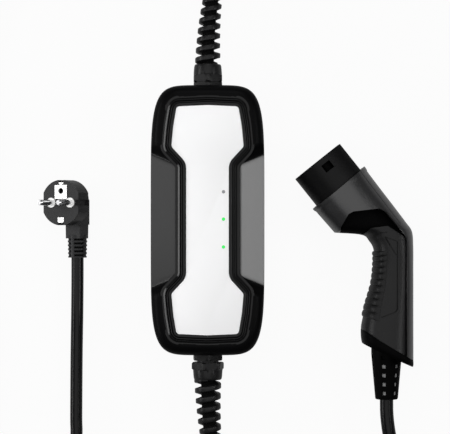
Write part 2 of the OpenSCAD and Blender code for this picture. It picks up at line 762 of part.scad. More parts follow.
// Housing: the hood over the nose and the spine down the back of the grip
module housing() {
    color("#3b3c3f") difference() {
        gun_loft(gun_stations, 0, 0);
        linear_extrude(90) polygon(grip_region);
        gun_loft([for (i = [1:len(gun_stations) - 1]) gun_stations[i]], gun_wall, 0);
        at_nose() translate([0, 0, -nose_l - nose_seat]) nose_shape(-slip, 60);
        at_nose() translate([0, 0, -nose_l - nose_seat - 12]) nose_shape(3, 40);
    }
}

// Grip: the lower part of the connector, narrower where it runs into the hood
module grip() {
    color("#333437") intersection() {
        difference() {
            gun_loft([for (i = [1:len(gun_stations) - 1]) gun_stations[i]], 0, 1);
            gun_loft([for (i = [1:len(gun_stations) - 1]) gun_stations[i]], gun_wall, 1);
        }
        linear_extrude(90) offset(delta = -fit) polygon(grip_region);
    }
}

// Ribbed pad around the inner edge of the grip
module grip_inlay() {
    list = station_lists(gun_stations);
    from = 10.2;
    to = 17.2;
    ribs = 11;
    rings = [for (k = [0:4*ribs]) let(
        at = from + (to - from)*k/(4*ribs),
        i = floor(at),
        v = list[i]*(i + 1 - at) + list[i + 1]*(at - i),
        s = station(v),
        rib = k%4 == 1 || k%4 == 2 ? 1.6 : 0.7)
        concat([for (a = [112:17:248]) gun_pad_point(s, a, -rib)],
            [for (a = [248:-17:112]) gun_pad_point(s, a, -0.15)])];
    color("#202124") skin(rings, bent = true);
}

function gun_pad_point(s, a, cut) = let(
    m = (s[0] + s[1])/2,
    h = (s[1] - s[0])/2,
    q = superpoint(1 - cut/norm(h), s[3] - cut, 3, a))
    [m[0] + h[0]*q[0], m[1] + h[1]*q[0], gun_z + q[1]];

module end_cap() {
    color("#17181a") difference() {
        gun_loft(cap_stations, 0, 0);
        translate([boot_x, 0, gun_z]) rotate([90, 0, 0]) cylinder(r = 13.2, h = 200, $fn = 64);
    }
}

// Boot: a tapered sleeve with rows of square windows
module cable_boot() {
    color("#1b1c1e") translate([boot_x, boot_y0, gun_z]) rotate([90, 0, 0]) difference() {
        union() {
            cylinder(r = 13.1, h = 12, $fn = 64);
            translate([0, 0, 12]) cylinder(r1 = 12.8, r2 = 9.65, h = boot_y0 - boot_y1 - 12, $fn = 64);
        }
        translate([0, 0, -1]) cylinder(r = vehicle_r + fit, h = 80, $fn = 48);
        for (row = [0:3], k = [0:5]) translate([0, 0, 16 + 7.65*row]) rotate([0, 0, 60*k + 13])
            translate([9.6 - 0.6*row, -1.55, 0]) cube([8, 3.1, 3.1]);
    }
}

module cable_clamp() {
    color("#4a4c50") translate([boot_x, boot_y0 + 12, gun_z]) rotate([90, 0, 0]) difference() {
        cylinder(r = 13.1, h = 12, $fn = 48);
        translate([0, 0, 8]) cylinder(r = vehicle_r + fit, h = 6, $fn = 48);
        for (a = [0:72:288]) rotate([0, 0, a]) translate([3.4, 0, -1]) cylinder(r = 1.2, h = 12, $fn = 24);
    }
}

// Nose: the shell that enters the car's inlet, with a lock hole in each side
module nose() {
    color("#121214") at_nose() difference() {
        translate([0, 0, -nose_l - nose_seat]) nose_shape(0, nose_l + nose_seat);
        translate([0, 0, -nose_l - nose_seat - 1]) nose_shape(3, nose_l + nose_seat + 2);
        translate([-4.2, -40, -12]) cube([8.4, 80, 7.2]);
    }
}

// Contact places: across the flat and along the flat from the nose's axis
power_places = [[0, 0], [0, 16.5], [0, -16.5]];
spare_places = [[-14, 8.6], [-14, -8.6]];
pilot_places = [[11, 8.6], [11, -8.6]];

module contact_carrier() {
    back = nose_l + nose_seat;
    color("#0f0f11") at_nose() difference() {
        union() {
            translate([0, 0, -back]) nose_shape(3 + fit, back - 14);
            for (p = concat(power_places, spare_places)) translate([p[0], p[1], -20])
                cylinder(r = 6.4, h = 18, $fn = 48);
            for (p = pilot_places) translate([p[0], p[1], -20]) cylinder(r = 4.6, h = 18, $fn = 48);
        }
        for (p = power_places) translate([p[0], p[1], -back - 1]) cylinder(r = power_r + 1.2, h = 80, $fn = 32);
        for (p = spare_places) translate([p[0], p[1], -18]) cylinder(r = power_r + 1.2, h = 40, $fn = 32);
        for (p = pilot_places) translate([p[0], p[1], -back - 1]) cylinder(r = pilot_r + 1, h = 80, $fn = 32);
    }
}

module contact_sleeve(p, bore, rim) {
    translate([p[0], p[1], -nose_l - nose_seat - 6]) difference() {
        cylinder(r = bore + rim - 0.05, h = nose_l + nose_seat - 2, $fn = 32);
        translate([0, 0, 14]) cylinder(r = bore, h = 60, $fn = 32);
    }
}

module power_contacts() {
    color("#cfc9b8") at_nose() for (p = power_places) contact_sleeve(p, power_r, 1.2);
}

module pilot_contacts() {
    color("#cfc9b8") at_nose() for (p = pilot_places) contact_sleeve(p, pilot_r, 1);
}

rear_case();
front_case();
case_seal();
case_screws();
panel_frame();
front_panel();
led_power();
led_charge();
led_fault();
indicator_board();
indicator_chips();
circuit_board();
board_screws();
power_relays();
leakage_sensor();
supply_transformer();
supply_capacitors();
mains_terminals();
vehicle_terminals();
controller_chip();
mains_gland_body();
mains_gland_locknut();
mains_gland_seal();
mains_gland_nut();
vehicle_gland_body();
vehicle_gland_locknut();
vehicle_gland_seal();
vehicle_gland_nut();
mains_lead();
plug_body();
pin_carrier();
line_pin();
neutral_pin();
earth_contact();
vehicle_lead_in();
vehicle_coil();
coil_tie();
vehicle_lead_out();
housing();
grip();
grip_inlay();
end_cap();
cable_boot();
cable_clamp();
nose();
contact_carrier();
power_contacts();
pilot_contacts();
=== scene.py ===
import math

import bpy
import numpy as np
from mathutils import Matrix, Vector


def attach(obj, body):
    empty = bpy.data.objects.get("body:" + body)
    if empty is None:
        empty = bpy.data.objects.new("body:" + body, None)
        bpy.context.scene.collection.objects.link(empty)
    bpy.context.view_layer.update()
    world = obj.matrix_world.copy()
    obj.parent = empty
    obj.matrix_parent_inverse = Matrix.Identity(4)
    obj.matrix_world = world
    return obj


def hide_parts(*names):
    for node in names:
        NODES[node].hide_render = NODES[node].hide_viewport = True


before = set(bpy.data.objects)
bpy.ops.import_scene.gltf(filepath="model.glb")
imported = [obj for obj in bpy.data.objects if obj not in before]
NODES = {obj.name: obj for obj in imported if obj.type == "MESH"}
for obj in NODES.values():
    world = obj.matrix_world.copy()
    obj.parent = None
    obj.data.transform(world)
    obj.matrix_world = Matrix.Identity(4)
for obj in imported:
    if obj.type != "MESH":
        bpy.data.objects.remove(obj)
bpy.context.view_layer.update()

MM = 0.001
SCENE = bpy.context.scene

# Sizes repeated from the part's source, in millimetres
BOX_HALF = np.array([48.3, 114.6])
BOX_POWER = 5.6
PLATEAU_Z = 52.8
BOX_TOP = 54.0
PANEL_Z = 50.0
SPLIT_Z = 36.5
COVER_Z = 37.7
CASE_WALL = 2.6
GLAND_Z = 20.5
END_Y = 114.55
MAINS_R = 5.3
VEHICLE_R = 5.8
PLUG_X = -112.96
PLUG_Z = 9.5
GUN_Z = 29.6
BOOT_X = 153.0


# Shapes

def smooth_step(t):
    """0 up to t = 0, 1 from t = 1, and 3t2 - 2t3 between them."""
    t = np.clip(t, 0, 1)
    return t*t*(3 - 2*t)


def soft_min(a, b, width):
    """The lower of two heights, with the corner between them rounded over width."""
    h = np.maximum(width - np.abs(a - b), 0)/width
    return np.minimum(a, b) - h*h*width/4


def through(points, steps):
    """Catmull-Rom curve through the rows of points, with steps samples in each span."""
    p = np.asarray(points, float)
    first = 2*p[:1] - p[1:2]
    last = 2*p[-1:] - p[-2:-1]
    p = np.vstack([first, p, last])
    t = np.arange(steps)[None, :, None]/steps
    a, b, c, d = (p[i:len(p) - 3 + i, None, :] for i in range(4))
    spans = 0.5*(2*b + (c - a)*t + (2*a - 5*b + 4*c - d)*t**2 + (3*b - a - 3*c + d)*t**3)
    return np.vstack([spans.reshape(-1, p.shape[1]), p[-2:-1]])


def run_along(points):
    """Distance along a polyline to each of its points."""
    return np.concatenate([[0], np.cumsum(np.linalg.norm(np.diff(points, axis=0), axis=1))])


def even_steps(points, step):
    """Points at even distances of about step along a polyline."""
    run = run_along(points)
    count = max(2, int(round(run[-1]/step)) + 1)
    at = np.linspace(0, run[-1], count)
    return np.stack([np.interp(at, run, points[:, k]) for k in range(points.shape[1])], 1)


def squared_oval(half, power, count):
    """Superellipse |x/a|^n + |y/b|^n = 1, with count points at even distances round it."""
    angle = np.linspace(0, 2*np.pi, 8001)
    c = np.abs(np.cos(angle))/half[0]
    s = np.abs(np.sin(angle))/half[1]
    reach = (c**power + s**power)**(-1/power)
    line = np.stack([reach*np.cos(angle), reach*np.sin(angle)], 1)
    run = run_along(line)
    at = np.arange(count)*run[-1]/count
    return np.stack([np.interp(at, run, line[:, k]) for k in range(2)], 1)


def circle(radius, count):
    """Points at even angles round a circle about the origin."""
    angle = np.linspace(0, 2*np.pi, count, endpoint=False)
    return radius*np.stack([np.cos(angle), np.sin(angle)], 1)


def at_height(outline, z):
    """A flat outline put at a height."""
    return np.column_stack([outline, np.full(len(outline), z)])


def rounded_corners(corners, steps):
    """Closed outline through corners (x, y, radius): an arc of that radius in place of each corner."""
    c = np.asarray(corners, float)
    p = c[:, :2]
    u = np.roll(p, 1, 0) - p
    v = np.roll(p, -1, 0) - p
    u /= np.linalg.norm(u, axis=1)[:, None]
    v /= np.linalg.norm(v, axis=1)[:, None]
    half = np.arccos(np.clip((u*v).sum(1), -1, 1))/2
    middle = u + v
    middle /= np.linalg.norm(middle, axis=1)[:, None]
    centre = p + middle*(c[:, 2]/np.sin(half))[:, None]
    start = p + u*(c[:, 2]/np.tan(half))[:, None] - centre
    end = p + v*(c[:, 2]/np.tan(half))[:, None] - centre
    t = np.linspace(0, 1, steps)[None, :, None]
    turn = np.pi - 2*half
    w0 = np.sin((1 - t)*turn[:, None, None])/np.sin(turn)[:, None, None]
    w1 = np.sin(t*turn[:, None, None])/np.sin(turn)[:, None, None]
    return (centre[:, None, :] + w0*start[:, None, :] + w1*end[:, None, :]).reshape(-1, 2)


def grid_faces(rows, cols, loop=False):
    """Quads between rings of points. With loop, the last ring is joined to the first."""
    r = np.arange(rows if loop else rows - 1)[:, None]
    c = np.arange(cols)[None, :]
    near = r*cols
    far = ((r + 1) % rows)*cols
    right = (c + 1) % cols
    return np.stack([near + c, near + right, far + right, far + c], -1).reshape(-1, 4).tolist()


def capped_faces(rows, cols):
    """Quads of a tube of rings, with a flat cap on each end."""
    first = list(range(cols - 1, -1, -1))
    last = list(range((rows - 1)*cols, rows*cols))
    return grid_faces(rows, cols) + [first, last]


def mesh_object(name, points, faces):
    """A mesh object from points in millimetres."""
    mesh = bpy.data.meshes.new(name)
    mesh.from_pydata((np.asarray(points, float).reshape(-1, 3)*MM).tolist(), [], faces)
    mesh.update()
    obj = bpy.data.objects.new(name, mesh)
    SCENE.collection.objects.link(obj)
    return obj


def cut(obj, cutters, operation="DIFFERENCE"):
    """Takes each cutter's volume from a piece, or keeps what they share, and removes the cutters."""
    for cutter in cutters:
        change = obj.modifiers.new("cut", "BOOLEAN")
        change.operation = operation
        change.solver = "MANIFOLD"
        change.object = cutter
    bpy.context.view_layer.update()
    done = obj.evaluated_get(bpy.context.evaluated_depsgraph_get())
    mesh = bpy.data.meshes.new_from_object(done)
    mesh.name = obj.name
    obj.modifiers.clear()
    obj.data = mesh
    for cutter in cutters:
        bpy.data.objects.remove(cutter)


def finish_piece(obj, material, nodes, sharp=32):
    """Smooths a piece up to its sharp edges, gives it its finish and puts it on the body."""
    obj.data.shade_smooth()
    obj.data.set_sharp_from_angle(angle=math.radians(sharp))
    obj.data.materials.clear()
    obj.data.materials.append(material)
    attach(obj, "root")
    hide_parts(*nodes)


def prism(name, outline, low, high):
    """An outline carried straight up from one height to another."""
    x, y = outline.T
    if (x*np.roll(y, -1) - y*np.roll(x, -1)).sum() < 0:
        outline = outline[::-1]
    points = np.stack([at_height(outline, low), at_height(outline, high)])
    return mesh_object(name, points, capped_faces(2, len(outline)))


# Finishes

def group(name, inputs, outputs):
    """An empty shader node group with named value inputs and outputs."""
    tree = bpy.data.node_groups.new(name, "ShaderNodeTree")
    for label, value in inputs:
        socket = tree.interface.new_socket(label, in_out="INPUT", socket_type="NodeSocketFloat")
        socket.default_value = value
    for label in outputs:
        tree.interface.new_socket(label, in_out="OUTPUT", socket_type="NodeSocketFloat")
    return tree, tree.nodes.new("NodeGroupInput"), tree.nodes.new("NodeGroupOutput")


def math_node(tree, operation, a, b):
    """A Math node fed by sockets or numbers."""
    node = tree.nodes.new("ShaderNodeMath")
    node.operation = operation
    for socket, value in zip(node.inputs, (a, b)):
        if isinstance(value, (int, float)):
            socket.default_value = value
        else:
            tree.links.new(value, socket)
    return node.outputs[0]


def object_axes(tree):
    """X, Y and Z of the shaded point in object space, in metres."""
    place = tree.nodes.new("ShaderNodeTexCoord")
    parts = tree.nodes.new("ShaderNodeSeparateXYZ")
    tree.links.new(place.outputs["Object"], parts.inputs[0])
    return parts.outputs["X"], parts.outputs["Y"], parts.outputs["Z"]


def between(tree, value, low, high):
    """Mask that is 1 where a value lies between two limits."""
    above = math_node(tree, "GREATER_THAN", value, low)
    below = math_node(tree, "LESS_THAN", value, high)
    return math_node(tree, "MULTIPLY", above, below)


def moulded_grain():
    """Fine moulded texture: small cells with a little noise on them, in object space."""
    tree, given, made = group("moulded_grain", [("Scale", 900.0), ("Cells", 0.5)], ["Height", "Patch"])
    place = tree.nodes.new("ShaderNodeTexCoord")
    cells = tree.nodes.new("ShaderNodeTexVoronoi")
    cells.feature = "SMOOTH_F1"
    noise = tree.nodes.new("ShaderNodeTexNoise")
    noise.inputs["Detail"].default_value = 3
    patch = tree.nodes.new("ShaderNodeTexNoise")
    patch.inputs["Scale"].default_value = 22
    patch.inputs["Detail"].default_value = 4
    for node in (cells, noise, patch):
        tree.links.new(place.outputs["Object"], node.inputs["Vector"])
    tree.links.new(given.outputs["Scale"], cells.inputs["Scale"])
    tree.links.new(given.outputs["Scale"], noise.inputs["Scale"])
    bumps = math_node(tree, "MULTIPLY", cells.outputs["Distance"], given.outputs["Cells"])
    height = math_node(tree, "ADD", bumps, noise.outputs["Fac"])
    tree.links.new(height, made.inputs["Height"])
    tree.links.new(patch.outputs["Fac"], made.inputs["Patch"])
    return tree


def fine_scuffs():
    """Handling marks: thin stretched noise, brought out only where it peaks."""
    tree, given, made = group("fine_scuffs", [("Scale", 60.0), ("Stretch", 6.0)], ["Mask"])
    place = tree.nodes.new("ShaderNodeTexCoord")
    mapping = tree.nodes.new("ShaderNodeMapping")
    mapping.inputs["Rotation"].default_value = (0.0, 0.0, 0.6)
    stretch = tree.nodes.new("ShaderNodeCombineXYZ")
    stretch.inputs["X"].default_value = 1
    stretch.inputs["Z"].default_value = 1
    noise = tree.nodes.new("ShaderNodeTexNoise")
    noise.inputs["Detail"].default_value = 5
    tree.links.new(place.outputs["Object"], mapping.inputs["Vector"])
    tree.links.new(given.outputs["Stretch"], stretch.inputs["Y"])
    tree.links.new(stretch.outputs[0], mapping.inputs["Scale"])
    tree.links.new(mapping.outputs[0], noise.inputs["Vector"])
    tree.links.new(given.outputs["Scale"], noise.inputs["Scale"])
    peak = math_node(tree, "SUBTRACT", noise.outputs["Fac"], 0.55)
    mask = tree.nodes.new("ShaderNodeMath")
    mask.operation = "MULTIPLY"
    mask.use_clamp = True
    mask.inputs[1].default_value = 4.0
    tree.links.new(peak, mask.inputs[0])
    tree.links.new(mask.outputs[0], made.inputs["Mask"])
    return tree


GRAIN = moulded_grain()
SCUFFS = fine_scuffs()
ROUGH_DRIFT = 0.12


def finish(name, colour, rough, grain=900.0, bump=0.15, cells=0.5, vary=0.06, metal=0.0, scuff=0.05,
           depth=0.00012, shine=0.5, **sockets):
    """A moulded or metal finish: colour and roughness drift in patches, with grain and faint scuffs."""
    material = bpy.data.materials.new(name)
    material.use_nodes = True
    tree = material.node_tree
    shader = tree.nodes["Principled BSDF"]
    shader.inputs["Metallic"].default_value = metal
    for label, value in sockets.items():
        shader.inputs[label.replace("_", " ")].default_value = value
    shader.inputs["Specular IOR Level"].default_value = shine
    texture = tree.nodes.new("ShaderNodeGroup")
    texture.node_tree = GRAIN
    texture.inputs["Scale"].default_value = grain
    texture.inputs["Cells"].default_value = cells
    marks = tree.nodes.new("ShaderNodeGroup")
    marks.node_tree = SCUFFS
    ramp = tree.nodes.new("ShaderNodeValToRGB")
    ramp.color_ramp.elements[0].position = 0.3
    ramp.color_ramp.elements[1].position = 0.7
    ramp.color_ramp.elements[0].color = (*[c*(1 - vary) for c in colour], 1)
    ramp.color_ramp.elements[1].color = (*[min(1, c*(1 + vary)) for c in colour], 1)
    tree.links.new(texture.outputs["Patch"], ramp.inputs["Fac"])
    tree.links.new(ramp.outputs["Color"], shader.inputs["Base Color"])
    drift = math_node(tree, "MULTIPLY_ADD", texture.outputs["Patch"], ROUGH_DRIFT)
    drift.node.inputs[2].default_value = rough - ROUGH_DRIFT/2
    worn = math_node(tree, "MULTIPLY", marks.outputs["Mask"], scuff)
    tree.links.new(math_node(tree, "ADD", drift, worn), shader.inputs["Roughness"])
    relief = tree.nodes.new("ShaderNodeBump")
    relief.inputs["Strength"].default_value = bump
    relief.inputs["Distance"].default_value = depth
    tree.links.new(texture.outputs["Height"], relief.inputs["Height"])
    tree.links.new(relief.outputs["Normal"], shader.inputs["Normal"])
    return material


CASE_BLACK = finish("case_black", (0.0022, 0.0022, 0.0024), 0.38, grain=1400, bump=0.06, shine=0.035)
FRAME_BLACK = finish("frame_black", (0.003, 0.003, 0.0032), 0.2, grain=1400, bump=0.0, shine=0.2, scuff=0.02)
PANEL_WHITE = finish("panel_white", (0.96, 0.96, 0.965), 0.35, grain=1800, bump=0.04, vary=0.01)
SEAL_RUBBER = finish("seal_rubber", (0.012, 0.012, 0.012), 0.7, grain=700, bump=0.2)
SCREW_STEEL = finish("screw_steel", (0.5, 0.5, 0.52), 0.3, grain=2200, metal=1.0, bump=0.1)
LENS_GREEN = finish("lens_green", (0.02, 0.5, 0.08), 0.2, grain=2500, bump=0.03, Emission_Strength=0.55,
                    Emission_Color=(0.03, 0.8, 0.1, 1))
LENS_GREY = finish("lens_grey", (0.28, 0.29, 0.3), 0.22, grain=2500, bump=0.03)
BOARD_GREEN = finish("board_green", (0.02, 0.14, 0.06), 0.4, grain=500, vary=0.2)
CHIP_CREAM = finish("chip_cream", (0.7, 0.66, 0.45), 0.3, grain=2500)
PART_BLACK = finish("part_black", (0.02, 0.02, 0.022), 0.45)
WINDING_AMBER = finish("winding_amber", (0.5, 0.3, 0.04), 0.4, grain=1500, vary=0.2)
CAPACITOR_BLUE = finish("capacitor_blue", (0.03, 0.05, 0.16), 0.25)
TERMINAL_GREEN = finish("terminal_green", (0.05, 0.24, 0.1), 0.45)
GLAND_BLACK = finish("gland_black", (0.006, 0.006, 0.0063), 0.36, grain=1200, bump=0.1, shine=0.2)
LEAD_BLACK = finish("lead_black", (0.003, 0.003, 0.0032), 0.24, grain=800, bump=0.015, scuff=0.01, shine=0.16)
TIE_BLACK = finish("tie_black", (0.012, 0.012, 0.013), 0.85, grain=1600, bump=0.8, depth=0.0004)
PLUG_GREY = finish("plug_grey", (0.015, 0.015, 0.0158), 0.42, grain=1100, bump=0.15, shine=0.2)
CARRIER_WHITE = finish("carrier_white", (0.9, 0.9, 0.89), 0.4, vary=0.03)
PLATE_NICKEL = finish("plate_nickel", (0.93, 0.93, 0.92), 0.3, grain=2000, metal=0.4, bump=0.05, vary=0.02)
PIN_NICKEL = finish("pin_nickel", (0.78, 0.78, 0.79), 0.16, grain=2600, metal=1.0, bump=0.05)
GUN_GREY = finish("gun_grey", (0.014, 0.014, 0.0147), 0.31, grain=1000, bump=0.3, cells=0.8, shine=0.65)
GRIP_GREY = finish("grip_grey", (0.005, 0.005, 0.0053), 0.4, grain=1000, bump=0.3, cells=0.8, shine=0.2)
GUN_BLACK = finish("gun_black", (0.0016, 0.0016, 0.0018), 0.42, grain=1200, bump=0.1, shine=0.14)
BOOT_BLACK = finish("boot_black", (0.001, 0.001, 0.0011), 0.5, grain=1000, bump=0.12, shine=0.025)
# Near black and dull: the contact carrier's own black, and painted shade on the neck inside the hood's pocket
BLACK_AND_PAINTED_SHADE = finish("black_and_painted_shade", (0.001, 0.001, 0.0011), 0.6, grain=1000, bump=0.15, shine=0.03)
# Pale grey that paints a reflection on the floors of the boot's windows
WINDOW_PAINTED_REFLECTION = finish("window_painted_reflection", (0.2, 0.2, 0.203), 0.45, grain=1200, bump=0.05, shine=0.3)
PAD_RUBBER = finish("pad_rubber", (0.004, 0.004, 0.0042), 0.45, grain=900, bump=0.2, shine=0.2)
CONTACT_SILVER = finish("contact_silver", (0.72, 0.69, 0.62), 0.22, grain=2400, metal=1.0, bump=0.05)


def slot_shade():
    """Mask of painted shade in the slots of the plug's sleeve: 1 within a radius of its axis, along the
    slotted length.
    """
    tree, given, made = group("slot_shade", [("Radius", 7.3*MM)], ["Mask"])
    x, y, z = object_axes(tree)
    x = math_node(tree, "SUBTRACT", x, PLUG_X*MM)
    z = math_node(tree, "SUBTRACT", z, PLUG_Z*MM)
    squares = math_node(tree, "ADD", math_node(tree, "MULTIPLY", x, x), math_node(tree, "MULTIPLY", z, z))
    limit = math_node(tree, "MULTIPLY", given.outputs["Radius"], given.outputs["Radius"])
    deep = math_node(tree, "LESS_THAN", squares, limit)
    mask = math_node(tree, "MULTIPLY", deep, between(tree, y, -32.5*MM, -15.7*MM))
    tree.links.new(mask, made.inputs["Mask"])
    return tree


def spiral_shade():
    """Mask of painted shade on the lengths of lead inside the bend protectors: 1 near the box's middle line,
    past the nuts.
    """
    tree, given, made = group("spiral_shade", [("Width", 25*MM)], ["Mask"])
    x, y, _ = object_axes(tree)
    across = math_node(tree, "ABSOLUTE", x, 0.0)
    along = math_node(tree, "ABSOLUTE", y, 0.0)
    near = math_node(tree, "LESS_THAN", across, given.outputs["Width"])
    mask = math_node(tree, "MULTIPLY", near, between(tree, along, 134.5*MM, 204*MM))
    tree.links.new(mask, made.inputs["Mask"])
    return tree


def shaded(base, name, masks):
    """A finish with painted shade: it turns black and dull where its mask is 1."""
    material = base.copy()
    material.name = name
    tree = material.node_tree
    shader = tree.nodes["Principled BSDF"]
    shade = tree.nodes.new("ShaderNodeGroup")
    shade.node_tree = masks
    tone = shader.inputs["Base Color"].links[0].from_socket
    rough = shader.inputs["Roughness"].links[0].from_socket
    mix = tree.nodes.new("ShaderNodeMix")
    mix.data_type = "RGBA"
    # Near-black colour of the painted shade
    mix.inputs["B"].default_value = (0.0008, 0.0008, 0.0008, 1)
    tree.links.new(shade.outputs["Mask"], mix.inputs["Factor"])
    tree.links.new(tone, mix.inputs["A"])
    tree.links.new(mix.outputs["Result"], shader.inputs["Base Color"])
    dull = math_node(tree, "MAXIMUM", rough, shade.outputs["Mask"])
    tree.links.new(dull, shader.inputs["Roughness"])
    return material


# Copy of the plug's finish with painted shade in the slots of its sleeve
PLUG_SLOT_PAINTED_SHADE = shaded(PLUG_GREY, "plug_slot_painted_shade", slot_shade())
# Copy of the lead's finish with painted shade where it runs inside the bend protectors
LEAD_SPIRAL_PAINTED_SHADE = shaded(LEAD_BLACK, "lead_spiral_painted_shade", spiral_shade())


# Camera, floor and light

def aim(obj, place, target):
    """Puts a lamp at a place, facing a target."""
    back = np.array(place, float) - np.array(target, float)
    obj.location = place
    obj.rotation_euler = Vector(back).to_track_quat("Z", "Y").to_euler()


def camera():
    """Looks straight down through a long lens that takes in span at the height of the box's sides."""
    span = 382.5
    distance = 1600
    sensor = 36
    lens = bpy.data.cameras.new("camera")
    lens.sensor_width = sensor
    lens.lens = sensor*distance/span
    lens.clip_end = 20
    obj = bpy.data.objects.new("camera", lens)
    obj.location = (0.0148, 0.0027, 1.64)
    SCENE.collection.objects.link(obj)
    SCENE.camera = obj


def floor():
    """A wide white sheet that glows to the eye, less so in reflections, and takes a little of the shadow."""
    size = 4000.0
    glow_seen = 0.94
    glow_mirrored = 0.15
    corners = np.array([[-size, -size, 0], [size, -size, 0], [size, size, 0], [-size, size, 0]])
    obj = mesh_object("floor", corners, [[0, 1, 2, 3]])
    material = bpy.data.materials.new("floor_white")
    material.use_nodes = True
    tree = material.node_tree
    shader = tree.nodes["Principled BSDF"]
    shader.inputs["Base Color"].default_value = (0.6, 0.6, 0.6, 1)
    shader.inputs["Roughness"].default_value = 0.9
    glow = tree.nodes.new("ShaderNodeEmission")
    rays = tree.nodes.new("ShaderNodeLightPath")
    mirrored = math_node(tree, "MULTIPLY", rays.outputs["Is Glossy Ray"], glow_mirrored)
    seen = math_node(tree, "MAXIMUM", rays.outputs["Is Camera Ray"], mirrored)
    seen = math_node(tree, "MAXIMUM", seen, rays.outputs["Is Transmission Ray"])
    share = math_node(tree, "MULTIPLY", seen, glow_seen)
    mix = tree.nodes.new("ShaderNodeMixShader")
    tree.links.new(share, mix.inputs["Fac"])
    tree.links.new(shader.outputs[0], mix.inputs[1])
    tree.links.new(glow.outputs[0], mix.inputs[2])
    tree.links.new(mix.outputs[0], tree.nodes["Material Output"].inputs["Surface"])
    obj.data.materials.append(material)


def lamp(name, place, size, power):
    """A soft box aimed at the middle of the object."""
    light = bpy.data.lights.new(name, "AREA")
    light.shape = "RECTANGLE"
    light.size, light.size_y = size
    light.energy = power
    obj = bpy.data.objects.new(name, light)
    SCENE.collection.objects.link(obj)
    aim(obj, place, (0.0, 0.0, 0.04))


def studio():
    """Soft boxes overhead, on each side and at the far end, a low strip on the left and a dim surround."""
    world = bpy.data.worlds.new("surround")
    world.use_nodes = True
    world.node_tree.nodes["Background"].inputs["Color"].default_value = (1, 1, 1, 1)
    world.node_tree.nodes["Background"].inputs["Strength"].default_value = 0.1
    SCENE.world = world
    lamp("top_box", (0.0, 0.1, 2.0), (2.4, 2.4), 23)
    lamp("right_box", (1.25, 0.05, 1.05), (0.7, 0.3), 5.2)
    lamp("left_box", (-1.2, 0.15, 1.0), (0.6, 1.4), 4)
    lamp("left_strip", (-1.35, 0.05, 0.42), (1.4, 0.2), 8)
    lamp("far_box", (0.1, 1.5, 1.2), (1.4, 0.6), 7)
    SCENE.view_settings.view_transform = "Standard"


camera()
floor()
studio()


# Leads

RELIEF_LENGTH = 70.0
RELIEF_DROOP = 9.0


def relief_axis(side, s):
    """Axis of a bend protector: straight out of its nut, then leaning and dropping with the square of s."""
    end = 133.85 if side > 0 else 135.25
    lean = 6.0 if side > 0 else 4.6
    s = np.asarray(s, float)
    far = (s/RELIEF_LENGTH)**2
    return np.stack([lean*far, side*(end + s), GLAND_Z - RELIEF_DROOP*far], -1)


MAINS_ROUTE = [
    [8.2, 220, 7.6], [7.4, 235, 5.8], [1.5, 252.5, 5.3], [-11, 267, 5.3], [-28, 276, 5.3],
    [-50, 279.5, 5.3], [-78, 276, 5.3], [-109, 265.5, 5.3], [-141, 247, 5.3], [-170, 220, 5.3],
    [-191, 187, 5.3], [-203, 148, 5.3], [-206, 105, 5.3], [-206, 20, 5.3], [-206, -80, 5.3],
    [-206, -172, 5.3], [-206, -189, 5.3], [-201.7, -208.4, 5.3], [-189.6, -224.1, 5.3],
    [-172.1, -233.2, 5.3], [-148.3, -233.2, 5.3], [-130.8, -224.1, 5.3], [-118.7, -208.4, 5.3],
    [-114.4, -189, 5.3], [-114.4, -172, 5.3], [-114.2, -140, 5.8], [-113.8, -110, 7.6],
    [-113.2, -80, 9.6], [PLUG_X, -48.4, PLUG_Z], [PLUG_X, -34.4, PLUG_Z], [PLUG_X, -16.5, PLUG_Z]]
LEAD_IN_ROUTE = [[5, -218, 9.3], [3.6, -231, 8], [0, -244, 7.4], [-2, -256, 7.4], [-2, -266, 7.4],
                 [-2, -280, 7.4], [-2, -296, 7.4]]
LEAD_OUT_ROUTE = [[174, -296, 19], [174, -280, 19], [174, -266, 19], [174, -256, 19], [171.5, -240, 20.2],
                  [166.5, -222, 22.8], [161, -204, 25.6], [156, -186, 28], [153.4, -168, 29.3],
                  [BOOT_X, -153, GUN_Z], [BOOT_X, -130, GUN_Z], [BOOT_X, -97, GUN_Z]]
# Turns at which the coil's radius changes, with the change
COIL_CHANGES = [(0.7, -11.8), (1.7, -11.6), (2.7, -11.6), (4.2, 11.6), (5.2, 11.6), (6.2, 11.8)]
COIL_MIDDLE = (86, -312)
COIL_RADIUS = 88.0
COIL_TURNS = 6.5


def coil_route():
    """Flat coil of two layers. The radius steps in by one lead at the end of each turn of the lower layer,
    climbs to the upper layer in the inner turn, and steps out again."""
    per_turn = 48
    u = np.linspace(0, COIL_TURNS, int(COIL_TURNS*per_turn) + 1)
    radius = np.full(len(u), COIL_RADIUS)
    for turn, change in COIL_CHANGES:
        radius = radius + change*smooth_step((u - turn)/0.3)
    height = 7.4 + 11.6*smooth_step((u - 3.5)/0.25)
    angle = np.pi + 2*np.pi*u
    x = COIL_MIDDLE[0] + radius*np.cos(angle)
    y = COIL_MIDDLE[1] + radius*np.sin(angle)
    return np.stack([x, y, height], 1)


def lead(name, line, radius, nodes):
    """A round lead: a circle carried along its route."""
    curve = bpy.data.curves.new(name, "CURVE")
    curve.dimensions = "3D"
    curve.bevel_depth = radius*MM
    curve.bevel_resolution = 7
    curve.use_fill_caps = True
    spline = curve.splines.new("POLY")
    spline.points.add(len(line) - 1)
    spline.points.foreach_set("co", np.column_stack([line*MM, np.ones(len(line))]).ravel())
    spline.use_smooth = True
    obj = bpy.data.objects.new(name, curve)
    SCENE.collection.objects.link(obj)
    # The lead's finish carries painted shade on the lengths inside the bend protectors
    curve.materials.append(LEAD_SPIRAL_PAINTED_SHADE)
    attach(obj, "root")
    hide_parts(*nodes)
    return obj, float(np.linalg.norm(np.diff(line, axis=0), axis=1).sum()*MM)


